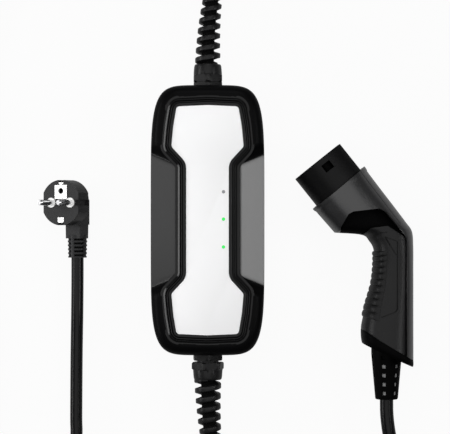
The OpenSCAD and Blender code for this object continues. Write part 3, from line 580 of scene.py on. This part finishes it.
INSIDE_Y = 92.1
relief_steps = np.arange(0, RELIEF_LENGTH + 1, 14)
mains_points = np.vstack([[[0, INSIDE_Y, GLAND_Z]], relief_axis(1, relief_steps), MAINS_ROUTE])
mains_line = even_steps(through(mains_points, 12), 5)
mains, mains_length = lead("mains_flex", mains_line, MAINS_R, ["mains_lead"])

in_points = np.vstack([[[0, -INSIDE_Y, GLAND_Z]], relief_axis(-1, relief_steps), LEAD_IN_ROUTE])
vehicle_line = np.vstack([through(in_points, 12), coil_route(), through(LEAD_OUT_ROUTE, 12)])
vehicle_line = even_steps(vehicle_line, 5)
vehicle, vehicle_length = lead("vehicle_flex", vehicle_line, VEHICLE_R,
                               ["vehicle_lead_in", "vehicle_coil", "vehicle_lead_out"])


# Control box

def box_ring(inset, z, count):
    """The box's squared oval drawn in by an inset, at a height."""
    return at_height(squared_oval(BOX_HALF - inset, BOX_POWER, count), z)


def back_case():
    """Deep tray: squared ovals drawn in along a quarter ellipse at the foot, with a wall and four wells."""
    count = 320
    foot_high = 6.5
    foot_in = 5
    t = np.linspace(0, np.pi/2, 9)
    levels = [(foot_high*(1 - np.cos(k)), foot_in*(1 - np.sin(k))) for k in t]
    levels += [(18, 0), (SPLIT_Z - 0.5, 0), (SPLIT_Z, 0.4), (SPLIT_Z, CASE_WALL), (20, CASE_WALL), (2.6, 2.8)]
    rings = [box_ring(inset, z, count) for z, inset in levels]
    obj = mesh_object("back_case", np.stack(rings), capped_faces(len(rings), count))
    well = circle(3.2, 40)
    wells = [prism("well", well + (x, y), -1, 3.1) for x in (-34, 34) for y in (-94, 94)]
    cut(obj, wells)
    finish_piece(obj, CASE_BLACK, ["rear_case"])


def panel_edge(out):
    """Outline of the panel moved outward: mitred corners, each rounded by its own radius."""
    half = [[18.1, 48.5, 12], [30.6, 62, 4], [29.1, 79, 120], [26.2, 96.1, 3.2], [0, 97.3, 60],
            [-26.2, 96.1, 3.2], [-29.1, 79, 120], [-30.6, 62, 4], [-18.1, 48.5, 12]]
    c = np.array(half + [[-x, -y, r] for x, y, r in half])
    p = c[:, :2]
    u = p - np.roll(p, 1, 0)
    v = np.roll(p, -1, 0) - p
    u /= np.linalg.norm(u, axis=1)[:, None]
    v /= np.linalg.norm(v, axis=1)[:, None]
    n1 = np.stack([u[:, 1], -u[:, 0]], 1)
    n2 = np.stack([v[:, 1], -v[:, 0]], 1)
    moved = p + out*(n1 + n2)/(1 + (n1*n2).sum(1))[:, None]
    turn = np.sign(u[:, 0]*v[:, 1] - u[:, 1]*v[:, 0])
    radius = np.maximum(c[:, 2] + out*turn, 0.4)
    return rounded_corners(np.column_stack([moved, radius]), 11)


def past_edge(points, outline):
    """Distance of each point from a closed outline, negative inside it."""
    share = 6000
    tiny = 1e-12
    a = outline[None]
    d = np.roll(outline, -1, 0)[None] - a
    b = a + d
    rise = np.where(d[..., 1] == 0, tiny, d[..., 1])
    nearest = np.zeros(len(points))
    inside = np.zeros(len(points), bool)
    for k in range(0, len(points), share):
        p = points[k:k + share, None]
        t = np.clip(((p - a)*d).sum(-1)/np.maximum((d*d).sum(-1), tiny), 0, 1)
        nearest[k:k + share] = np.linalg.norm(p - a - t[..., None]*d, axis=-1).min(1)
        crosses = (a[..., 1] > p[..., 1]) != (b[..., 1] > p[..., 1])
        left = p[..., 0] < a[..., 0] + d[..., 0]*(p[..., 1] - a[..., 1])/rise
        inside[k:k + share] = (crosses & left).sum(1) % 2 == 1
    return np.where(inside, -nearest, nearest)


def cover_finish():
    """The case's black, with a soft coat where the mesh carries the scoop mask."""
    material = CASE_BLACK.copy()
    material.name = "cover_black"
    tree = material.node_tree
    shader = tree.nodes["Principled BSDF"]
    shader.inputs["Coat Roughness"].default_value = 0.22
    mask = tree.nodes.new("ShaderNodeAttribute")
    mask.attribute_name = "scoop"
    sheen = math_node(tree, "MULTIPLY", mask.outputs["Fac"], 0.95)
    tree.links.new(sheen, shader.inputs["Coat Weight"])
    return material


def front_case():
    """Cover: the height follows a quarter round at the rim and a flat top, and the lower of that and a
    sloping scoop along each side. The scoops run out in soft ends, and the top drops away under the frame."""
    count = 720
    rim_r = 10
    scoop_x = 24.9
    scoop_tilt = math.radians(25.5)
    seat_z = 46
    rim_inset = rim_r*(1 - np.cos(np.linspace(0, np.pi/2, 26)))
    inset = np.concatenate([rim_inset, np.linspace(10.6, 31, 44)])
    rings = np.stack([squared_oval(BOX_HALF - d, BOX_POWER, count) for d in inset])
    x = np.abs(rings[..., 0])
    y = np.abs(rings[..., 1])
    near = np.minimum(inset, rim_r)[:, None]
    dome = PLATEAU_Z - rim_r + np.sqrt(rim_r**2 - (rim_r - near)**2)
    slope = PLATEAU_Z - math.tan(scoop_tilt)*(x - scoop_x)
    scoop_end = 48 + 0.43*(x - scoop_x)
    scoop = slope + 9*smooth_step((y - scoop_end + 3)/15)
    height = soft_min(dome, scoop, 2.4)
    mask = smooth_step((dome - slope)/1.5)*(1 - smooth_step((y - scoop_end + 6)/8))
    out = past_edge(rings.reshape(-1, 2), panel_edge(0)).reshape(x.shape)
    height = seat_z + (height - seat_z)*smooth_step((out - 6.6)/1.2)
    top = np.concatenate([rings, height[..., None]], -1)
    foot = [box_ring(CASE_WALL, COVER_Z + 3, count), box_ring(CASE_WALL, COVER_Z, count),
            box_ring(0.4, COVER_Z, count), box_ring(0, COVER_Z + 0.5, count)]
    points = np.concatenate([np.stack(foot), top])
    obj = mesh_object("front_cover", points, grid_faces(len(points), count, loop=True))
    shade = obj.data.attributes.new("scoop", "FLOAT", "POINT")
    shade.data.foreach_set("value", np.concatenate([np.zeros(len(foot)*count), mask.ravel()]))
    finish_piece(obj, cover_finish(), ["front_case"], sharp=40)


def panel_surround():
    """Raised frame: a section of flank, ridge, groove and lip carried round the panel's outline."""
    section = np.array([
        [9.2, -7], [9.2, -1.8], [8.9, -1.4], [8.3, -1.28], [7, -1.2], [6.75, -1.07], [6.4, -0.81],
        [6, -0.51], [5.6, -0.21], [5.3, -0.03], [5, -0.12], [4.5, -1.3], [3.9, -2.25], [3.2, -2.3],
        [2.6, -1.7], [2, -1.38], [1.2, -1.36], [0.5, -1.5], [0.15, -1.9], [0.1, -4]])
    soft = np.vstack([section[:1], through(section[1:-1], 4), section[-1:]])
    rings = [at_height(panel_edge(out), BOX_TOP + z) for out, z in soft]
    obj = mesh_object("panel_surround", np.stack(rings), grid_faces(len(rings), len(rings[0]), loop=True))
    finish_piece(obj, FRAME_BLACK, ["panel_frame"], sharp=60)


def panel_sheet():
    """White panel: its outline carried up to an edge that is eased over 0.2 mm, with a hole for each lens."""
    levels = [(-0.1, PANEL_Z), (-0.1, PANEL_Z + 1.9), (-0.16, PANEL_Z + 2.04), (-0.3, PANEL_Z + 2.1)]
    rings = [at_height(panel_edge(out), z) for out, z in levels]
    obj = mesh_object("panel_sheet", np.stack(rings), capped_faces(len(rings), len(rings[0])))
    hole = circle(1.45, 32)
    cut(obj, [prism("hole", hole + (13.5, y), PANEL_Z - 1, PANEL_Z + 4) for y in (-22.6, 0.9, 24)])
    finish_piece(obj, PANEL_WHITE, ["front_panel"], sharp=40)


back_case()
front_case()
panel_surround()
panel_sheet()


# Glands

HEX_SIDE = np.pi/3


def gland_frame(side, s, radius, angle):
    """Points round a gland's axis: radius and angle at distance s out from the case end."""
    x = side*radius*np.sin(angle)
    y = side*(END_Y + s) + 0*angle
    return np.stack([x, y, GLAND_Z + radius*np.cos(angle)], -1)


def turned_rings(side, levels, turn, flat):
    """Rings round a gland's axis from (distance, radius, corner): a circle of the radius, or where there is
    none, a hexagon of the size flat from axis to side, with its corners cut at the corner radius."""
    count = 144
    angle = np.arange(count)*2*np.pi/count
    from_flat = (angle - turn + HEX_SIDE/2) % HEX_SIDE - HEX_SIDE/2
    rows = []
    for s, radius, corner in levels:
        reach = np.full(count, radius) if radius else np.minimum(flat/np.cos(from_flat), corner)
        rows.append(gland_frame(side, s, reach, angle))
    return np.concatenate(rows), grid_faces(len(rows), count, loop=True)


def gland_body(side, name, lead_r, turn, thick, node):
    """Gland body: a threaded stem inside the case, a hexagon on its end and a smooth stem under the nut."""
    levels = [
        (2, lead_r + 0.5, None), (-10, lead_r + 0.5, None), (-10, 9.5, None), (-9.5, 10, None),
        (0, 10, None), (0, None, 12.6), (0.6, None, 13.7), (thick - 0.7, None, 13.7),
        (thick, None, 12.5), (thick, 9.2, None), (thick + 8.2, 9.2, None), (thick + 8.5, 8.9, None),
        (thick + 8.5, lead_r + 2, None), (2, lead_r + 2, None)]
    obj = mesh_object(name, *turned_rings(side, levels, turn, 12))
    finish_piece(obj, GLAND_BLACK, [node], sharp=38)


def gland_nut(side, base, lead_r, turn, flat):
    """Gland nut: a hexagon with cut corners that runs into a dome, hollow over the stem of the body."""
    levels = [
        (0, 9.4, None), (0, flat - 0.4, None), (0, None, flat + 0.6), (0.7, None, flat + 1.7),
        (3.1, None, flat + 1.86), (5.5, None, flat + 1.7), (6.2, None, flat + 0.5),
        (6.5, flat + 0.2, None), (9, flat + 0.05, None), (13, flat - 0.3, None),
        (14.2, flat - 0.6, None), (14.8, flat - 1, None), (15, flat - 1.5, None),
        (15, lead_r + 0.2, None), (8.6, lead_r + 0.2, None), (8.6, 9.4, None)]
    return turned_rings(side, [(base + s, r, corner) for s, r, corner in levels], turn, flat)


def bend_protector(side, lead_r, pitch, turn, wide):
    """Spiral: a strip with sloping flanks, wound round the drooping axis of the lead and tapering."""
    per_turn = 56
    wound = 69
    count = int(wound/pitch*per_turn) + 1
    i = np.arange(count)
    angle = turn + 2*np.pi*i/per_turn
    crest = 0.2*pitch
    root = 0.39*pitch
    side_line = [(0.0, root), (-0.55, crest + 0.35), (-0.15, crest + 0.1), (0.0, crest - 0.45)]
    section = np.array(side_line + [(d, -a) for d, a in side_line[::-1]])
    outer = wide - (wide - lead_r - 2.6)*i/(count - 1)
    reach = outer[:, None] + section[None, :, 0]
    reach[:, [0, -1]] = lead_r + 0.3
    axis = relief_axis(side, 0.2 + pitch*i[:, None]/per_turn + section[None, :, 1])
    out = np.stack([side*np.sin(angle), 0*angle, np.cos(angle)], -1)
    points = axis + reach[..., None]*out[:, None, :]
    return points.reshape(-1, 3), capped_faces(count, len(section))


def joined(name, parts):
    """Several surfaces as one piece: the faces of each count on from the points before it."""
    points = np.concatenate([p for p, _ in parts])
    first = np.cumsum([0] + [len(p) for p, _ in parts])
    faces = [[i + base for i in face] for (_, some), base in zip(parts, first.tolist()) for face in some]
    return mesh_object(name, points, faces)


def gland_grip(name, nut, spiral, node):
    """Nut and bend protector of one gland."""
    finish_piece(joined(name, [nut, spiral]), GLAND_BLACK, [node], sharp=38)


gland_body(1, "mains_gland_stem", MAINS_R, math.radians(33), 4.0, "mains_gland_body")
gland_body(-1, "vehicle_gland_stem", VEHICLE_R, math.radians(25), 5.9, "vehicle_gland_body")
gland_grip("mains_gland_grip", gland_nut(1, 4.3, MAINS_R, math.radians(33), 12.0),
           bend_protector(1, MAINS_R, 8.5, math.radians(130), 11.1), "mains_gland_nut")
gland_grip("vehicle_gland_grip", gland_nut(-1, 7.6, VEHICLE_R, math.radians(-16), 12.5),
           bend_protector(-1, VEHICLE_R, 8.95, 0.0, 11.8), "vehicle_gland_nut")


# Connector

HOOD_CORNER_X = 108.6
# Inner edge, outer edge and the half depths of hood and grip at stations from the rim to the handle's end
GUN_STATIONS = np.array([
    [90.5, 9.9, 133.5, 45.5, 29.4, 17], [99.5, -0.4, 144.8, 30.4, 29.6, 17],
    [HOOD_CORNER_X, -10.7, 157, 14.5, 29, 17], [131.7, -12.6, 169, -1.5, 27, 17.5],
    [138.3, -18.1, 174.3, -9.5, 25, 22.5],
    [142, -25.5, 175.4, -22, 23.6, 22.6], [142.2, -38.9, 175.4, -40, 22.8, 21.8],
    [140.3, -55.1, 175.4, -58, 22.8, 21.8], [135.3, -71.7, 175.4, -79, 23.6, 22.6],
    [131.7, -88.1, 175.4, -104, 25.6, 24.6], [131.2, -93.1, 175.4, -119.4, 26.4, 25.4]])
HOOD_DEPTH = 4
GRIP_DEPTH = 5
HOOD_POWER = 3.0
GRIP_POWER = 2.4
NOSE_POWER = 2.25
NOSE_LEAN = math.radians(38.6)
NOSE_MIDDLE = np.array([96, 51.9])
NOSE_R = 27
NOSE_FLAT = 20.4

# Outlines with corner radii, and lines scored into the faces
POCKET_TOP = [[112, -22, 2], [112.8, -5.7, 3], [118.5, 5, 3], [122.7, 7.4, 3], [144.8, 9.9, 3],
              [150.6, 7.5, 2]]
POCKET_EDGE = POCKET_TOP + [[168.2, -15.1, 2], [168.4, -60, 2], [168.4, -140, 2], [112, -140, 2]]
HANDLE_EDGE = [[120, -20, 1], [134.4, -10.5, 1], [138.2, -6.6, 1], [152.2, -4.8, 1.5], [168.1, -15.1, 1],
               [168.3, -60, 2], [168.3, -140, 2], [120, -140, 2]]
NECK_EDGE = POCKET_TOP + [[167.6, -14.6, 0.5], [152.2, -6.6, 1], [139, -8.2, 1], [136, -24, 1]]
GRIP_LINES = [
    [[149.9, -14], [160.1, -17.9], [160.1, -75.2], [158.6, -77.4], [147, -82]],
    [[149.9, -14], [159.3, -29.6]], [[146, -10.6], [151.6, -10.2]]]
HOOD_LINES = [[[128.4, 42.6], [133, 36.3], [150.4, 13.6], [163, -2.9]]]
ABOVE_PART = 95


def gun_section(stations, half, drawn_in, angle, handle):
    """Squared oval between the inner and outer edge of each station, drawn in by an even wall. Its power is
    given along the handle and falls towards the nose."""
    inner = stations[:, None, 0:2]
    outer = stations[:, None, 2:4]
    middle = (inner + outer)/2
    reach = (outer - inner)/2
    size = np.linalg.norm(reach, axis=-1, keepdims=True)
    power = handle - (handle - NOSE_POWER)*smooth_step((middle[..., 1] + 55)/70)
    c = np.sign(np.cos(angle))*np.abs(np.cos(angle))**(2/power)
    s = np.sign(np.sin(angle))*np.abs(np.sin(angle))**(2/power)
    drawn_in = np.asarray(drawn_in, float)
    flat = middle + reach*(1 - drawn_in[..., None]/size)*c[..., None]
    z = GUN_Z + np.minimum(half[:, None] - np.maximum(drawn_in, 0), GUN_Z)*s
    return np.concatenate([flat, z[..., None]], -1)


def gun_curve(stations, steps):
    """Smooth curves through the stations before and after the hood's lower corner, which meet there."""
    corner = int(np.argmin(np.abs(stations[:, 0] - HOOD_CORNER_X)))
    return np.vstack([through(stations[:corner + 1], steps)[:-1], through(stations[corner:], steps)])


def gun_loft(name, stations, column, drawn_in=0.0, count=144, rim=0.0, handle=HOOD_POWER):
    """Loft through the connector's stations, with a swelling round its first edge."""
    fine = gun_curve(stations, 16)
    middle = (fine[:, 0:2] + fine[:, 2:4])/2
    run = run_along(middle)
    wall = drawn_in - rim*(1 - smooth_step((run - 2.6)/1.4))
    angle = (np.arange(count) + 0.5)*2*np.pi/count
    points = gun_section(fine, fine[:, column], wall[:, None], angle, handle)
    return mesh_object(name, points, capped_faces(len(fine), count))


def nose_block(name, drawn_in, low, high):
    """The nose's outline, a circle with one flat, carried along its leaning axis."""
    x, y = circle(NOSE_R - drawn_in, 160).T
    x = np.minimum(x, NOSE_FLAT - drawn_in)
    along = np.array([-math.sin(NOSE_LEAN), math.cos(NOSE_LEAN)])
    across = np.array([math.cos(NOSE_LEAN), math.sin(NOSE_LEAN)])
    rows = []
    for d in (low, high):
        flat = NOSE_MIDDLE + d*along + x[:, None]*across
        rows.append(np.column_stack([flat, GUN_Z - y]))
    return mesh_object(name, np.stack(rows), capped_faces(2, len(x)))


def block(name, edge):
    """An outline with rounded corners carried from below the part to above it."""
    return prism(name, rounded_corners(edge, 7), -5, ABOVE_PART)


def strip_outline(line, half):
    """Outline of a narrow strip along a line: the line moved by half to each side, with mitred bends."""
    p = np.asarray(line, float)
    d = np.diff(p, axis=0)
    d /= np.linalg.norm(d, axis=1)[:, None]
    n = np.stack([-d[:, 1], d[:, 0]], 1)
    first = np.vstack([n[:1], n])
    last = np.vstack([n, n[-1:]])
    side = (first + last)/(1 + (first*last).sum(1))[:, None]
    return np.vstack([p + half*side, (p - half*side)[::-1]])


def scored(obj, lines, stations, column, half, depth, handle):
    """Cuts shallow grooves along lines into the top of a loft: strips less a loft drawn in by the depth."""
    for line in lines:
        strip = prism("strip", strip_outline(line, half), GUN_Z, ABOVE_PART)
        cut(strip, [gun_loft("core", stations, column, depth, handle=handle)])
        cut(obj, [strip])


def hood():
    """Housing: the outer loft, swelling at its front rim, less its hollow, the pocket and the nose's seat."""
    obj = gun_loft("connector_hood", GUN_STATIONS, HOOD_DEPTH, rim=0.7)
    hollow = gun_loft("hollow", GUN_STATIONS[1:], HOOD_DEPTH, 2.8, 96)
    seat = nose_block("seat", -0.25, -42, 18)
    throat = nose_block("throat", 3, -54, -14)
    cut(obj, [hollow, block("pocket", POCKET_EDGE), seat, throat])
    scored(obj, HOOD_LINES, GUN_STATIONS, HOOD_DEPTH, 0.2, 0.4, HOOD_POWER)
    finish_piece(obj, GUN_GREY, ["housing"], sharp=30)


def grip():
    """Handle: the narrower loft, at full depth up to its edge under the hood, with scored lines."""
    stations = GUN_STATIONS[1:].copy()
    stations[:3, GRIP_DEPTH] = [19, 20.5, 21.8]
    obj = gun_loft("connector_grip", stations, GRIP_DEPTH, handle=GRIP_POWER)
    cut(obj, [block("region", HANDLE_EDGE)], "INTERSECT")
    scored(obj, GRIP_LINES, stations, GRIP_DEPTH, 0.5, 1.4, GRIP_POWER)
    finish_piece(obj, GRIP_GREY, ["grip"], sharp=30)


def neck():
    """Neck: the thinner loft that carries the handle up into the hood, in a near-black finish that is painted
    shade inside the hood's pocket.
    """
    stations = GUN_STATIONS[1:7].copy()
    stations[:, GRIP_DEPTH] = [15, 15, 14.5, 14.5, 15, 15]
    obj = gun_loft("connector_neck", stations, GRIP_DEPTH)
    cut(obj, [block("region", NECK_EDGE)], "INTERSECT")
    finish_piece(obj, BLACK_AND_PAINTED_SHADE, ["grip"], sharp=30)


def grip_pad():
    """Ribbed pad round the inner edge of the handle: the pad's thickness swells in rounded ribs."""
    ribs = 11
    per_rib = 14
    across = 41
    fine = through(GUN_STATIONS, 2)
    row = np.arange(ribs*per_rib + 1)
    at = np.linspace(10.2, 17.2, len(row))
    stations = np.stack([np.interp(at, np.arange(len(fine)), fine[:, k]) for k in range(6)], 1)
    proud = 0.6 + 0.85*np.abs(np.sin(np.pi*row/per_rib))**0.6
    angle = np.radians(np.linspace(112, 248, across))
    from_side = np.arange(across)
    taper = smooth_step(from_side/5)*smooth_step((across - 1 - from_side)/5)
    outer = gun_section(stations, stations[:, GRIP_DEPTH], -0.1, angle, GRIP_POWER)
    base = gun_section(stations, stations[:, GRIP_DEPTH], 0.6, angle, GRIP_POWER)
    away = outer - base
    away /= np.linalg.norm(away, axis=-1, keepdims=True)
    outer = outer + away*(proud[:, None]*(0.15 + 0.85*taper[None, :]))[..., None]
    points = np.concatenate([outer, base[:, ::-1]], 1)
    obj = mesh_object("grip_pad", points, capped_faces(len(row), 2*across))
    finish_piece(obj, PAD_RUBBER, ["grip_inlay"], sharp=40)


def tail_cap():
    """End cap: a short loft under the slanted end of the handle, drawn in at its foot."""
    stations = np.array([[131.2, -93.3, 175.4, -119.6, 26.4], [131.3, -99, 175.5, -122.5, 26.2],
                         [131.7, -102.5, 175.3, -124, 25.6], [132.2, -105, 175, -125, 24.6]])
    fine = through(stations, 6)
    count = 144
    angle = (np.arange(count) + 0.5)*2*np.pi/count
    points = gun_section(fine, fine[:, HOOD_DEPTH], 0.0, angle, HOOD_POWER)
    obj = mesh_object("tail_cap", points, capped_faces(len(fine), count))
    finish_piece(obj, BOOT_BLACK, ["end_cap"], sharp=30)


def window_lines(starts, width, step):
    """Grid lines with a pair of close lines at both edges of each window."""
    lines = [np.arange(starts[0] - step, starts[-1] + width + step, step)]
    for s in starts:
        lines.append(np.array([s - 0.08, s + 0.08, s + width - 0.08, s + width + 0.08]))
    return np.unique(np.round(np.concatenate(lines), 3))


def boot_ring(reach, angle, s):
    """Points round the boot's axis at distance s from its wide end."""
    y = np.broadcast_to(-107 - s, reach.shape)
    return np.stack([BOOT_X + reach*np.cos(angle), y, GUN_Z - reach*np.sin(angle)], -1)


def boot():
    """Cable boot: a tapering round sleeve with rows of square windows sunk into it, their floors past the
    first row pale grey as a painted reflection.
    """
    length = 46
    bore = 5.9
    width = 3.1
    whole = 2*np.pi
    starts = [8.35 + 7.65*k for k in range(5)]
    s = np.unique(np.concatenate([[0, 0.4, 1.2], window_lines(starts, width, 1.2), [44.6, 45.5, length]]))
    s = s[s <= length]
    radius = np.interp(s, [0, 1.2, 7, 44.6, 45.5, length], [12.7, 13.1, 13.1, 9.75, 9.55, 9.0])
    columns = np.radians(60*np.arange(6) + 13)
    half = 1.55/11
    edges = np.array([-half - 0.008, -half + 0.008, half - 0.008, half + 0.008])
    lines = np.concatenate([(columns[:, None] + edges).ravel(), np.arange(0, whole - 0.01, whole/120)])
    angle = np.unique(np.round(lines % whole, 5))
    in_row = np.zeros(len(s), bool)
    for start in starts:
        in_row |= (s > start) & (s < start + width)
    off = np.min(np.abs((angle[:, None] - columns[None, :] + np.pi) % whole - np.pi), 1)
    sunk = in_row[:, None] & (off < half)[None, :]
    body = boot_ring(radius[:, None] - 1.1*sunk, angle, s[:, None])
    hole = np.full((1, len(angle)), bore)
    points = np.concatenate([boot_ring(hole, angle, 0), body, boot_ring(hole, angle, length)])
    obj = mesh_object("cable_sleeve", points, grid_faces(len(points), len(angle), loop=True))
    finish_piece(obj, BOOT_BLACK, ["cable_boot"], sharp=35)
    # Pale grey on the window floors past the first row is a painted reflection
    obj.data.materials.append(WINDOW_PAINTED_REFLECTION)
    none = np.zeros((1, len(angle)), bool)
    low = np.vstack([none, sunk & (s > 15)[:, None], none])
    right = np.roll(low, -1, 1)
    floor_of = low & np.roll(low, -1, 0) & right & np.roll(right, -1, 0)
    obj.data.polygons.foreach_set("material_index", floor_of.ravel().astype(np.int32))


hood()
grip()
neck()
grip_pad()
tail_cap()
boot()


# Finishes of the pieces that keep their own solids

CARRIED = {
    "case_seal": SEAL_RUBBER, "case_screws": SCREW_STEEL, "led_power": LENS_GREEN,
    "led_charge": LENS_GREEN, "led_fault": LENS_GREY, "indicator_board": BOARD_GREEN,
    "indicator_chips": CHIP_CREAM, "circuit_board": BOARD_GREEN, "board_screws": SCREW_STEEL,
    "power_relays": PART_BLACK, "leakage_sensor": PART_BLACK, "supply_transformer": WINDING_AMBER,
    "supply_capacitors": CAPACITOR_BLUE, "mains_terminals": TERMINAL_GREEN,
    "vehicle_terminals": TERMINAL_GREEN, "controller_chip": PART_BLACK, "mains_gland_locknut": GLAND_BLACK,
    "mains_gland_seal": SEAL_RUBBER, "vehicle_gland_locknut": GLAND_BLACK,
    # plug_body's finish carries painted shade in the slots of its sleeve
    "vehicle_gland_seal": SEAL_RUBBER, "plug_body": PLUG_SLOT_PAINTED_SHADE, "pin_carrier": CARRIER_WHITE,
    "line_pin": PIN_NICKEL, "neutral_pin": PIN_NICKEL, "earth_contact": PLATE_NICKEL, "coil_tie": TIE_BLACK,
    "cable_clamp": PART_BLACK, "nose": GUN_BLACK, "contact_carrier": BLACK_AND_PAINTED_SHADE,
    "power_contacts": CONTACT_SILVER, "pilot_contacts": CONTACT_SILVER}

for node, material in CARRIED.items():
    NODES[node].data.materials.clear()
    NODES[node].data.materials.append(material)
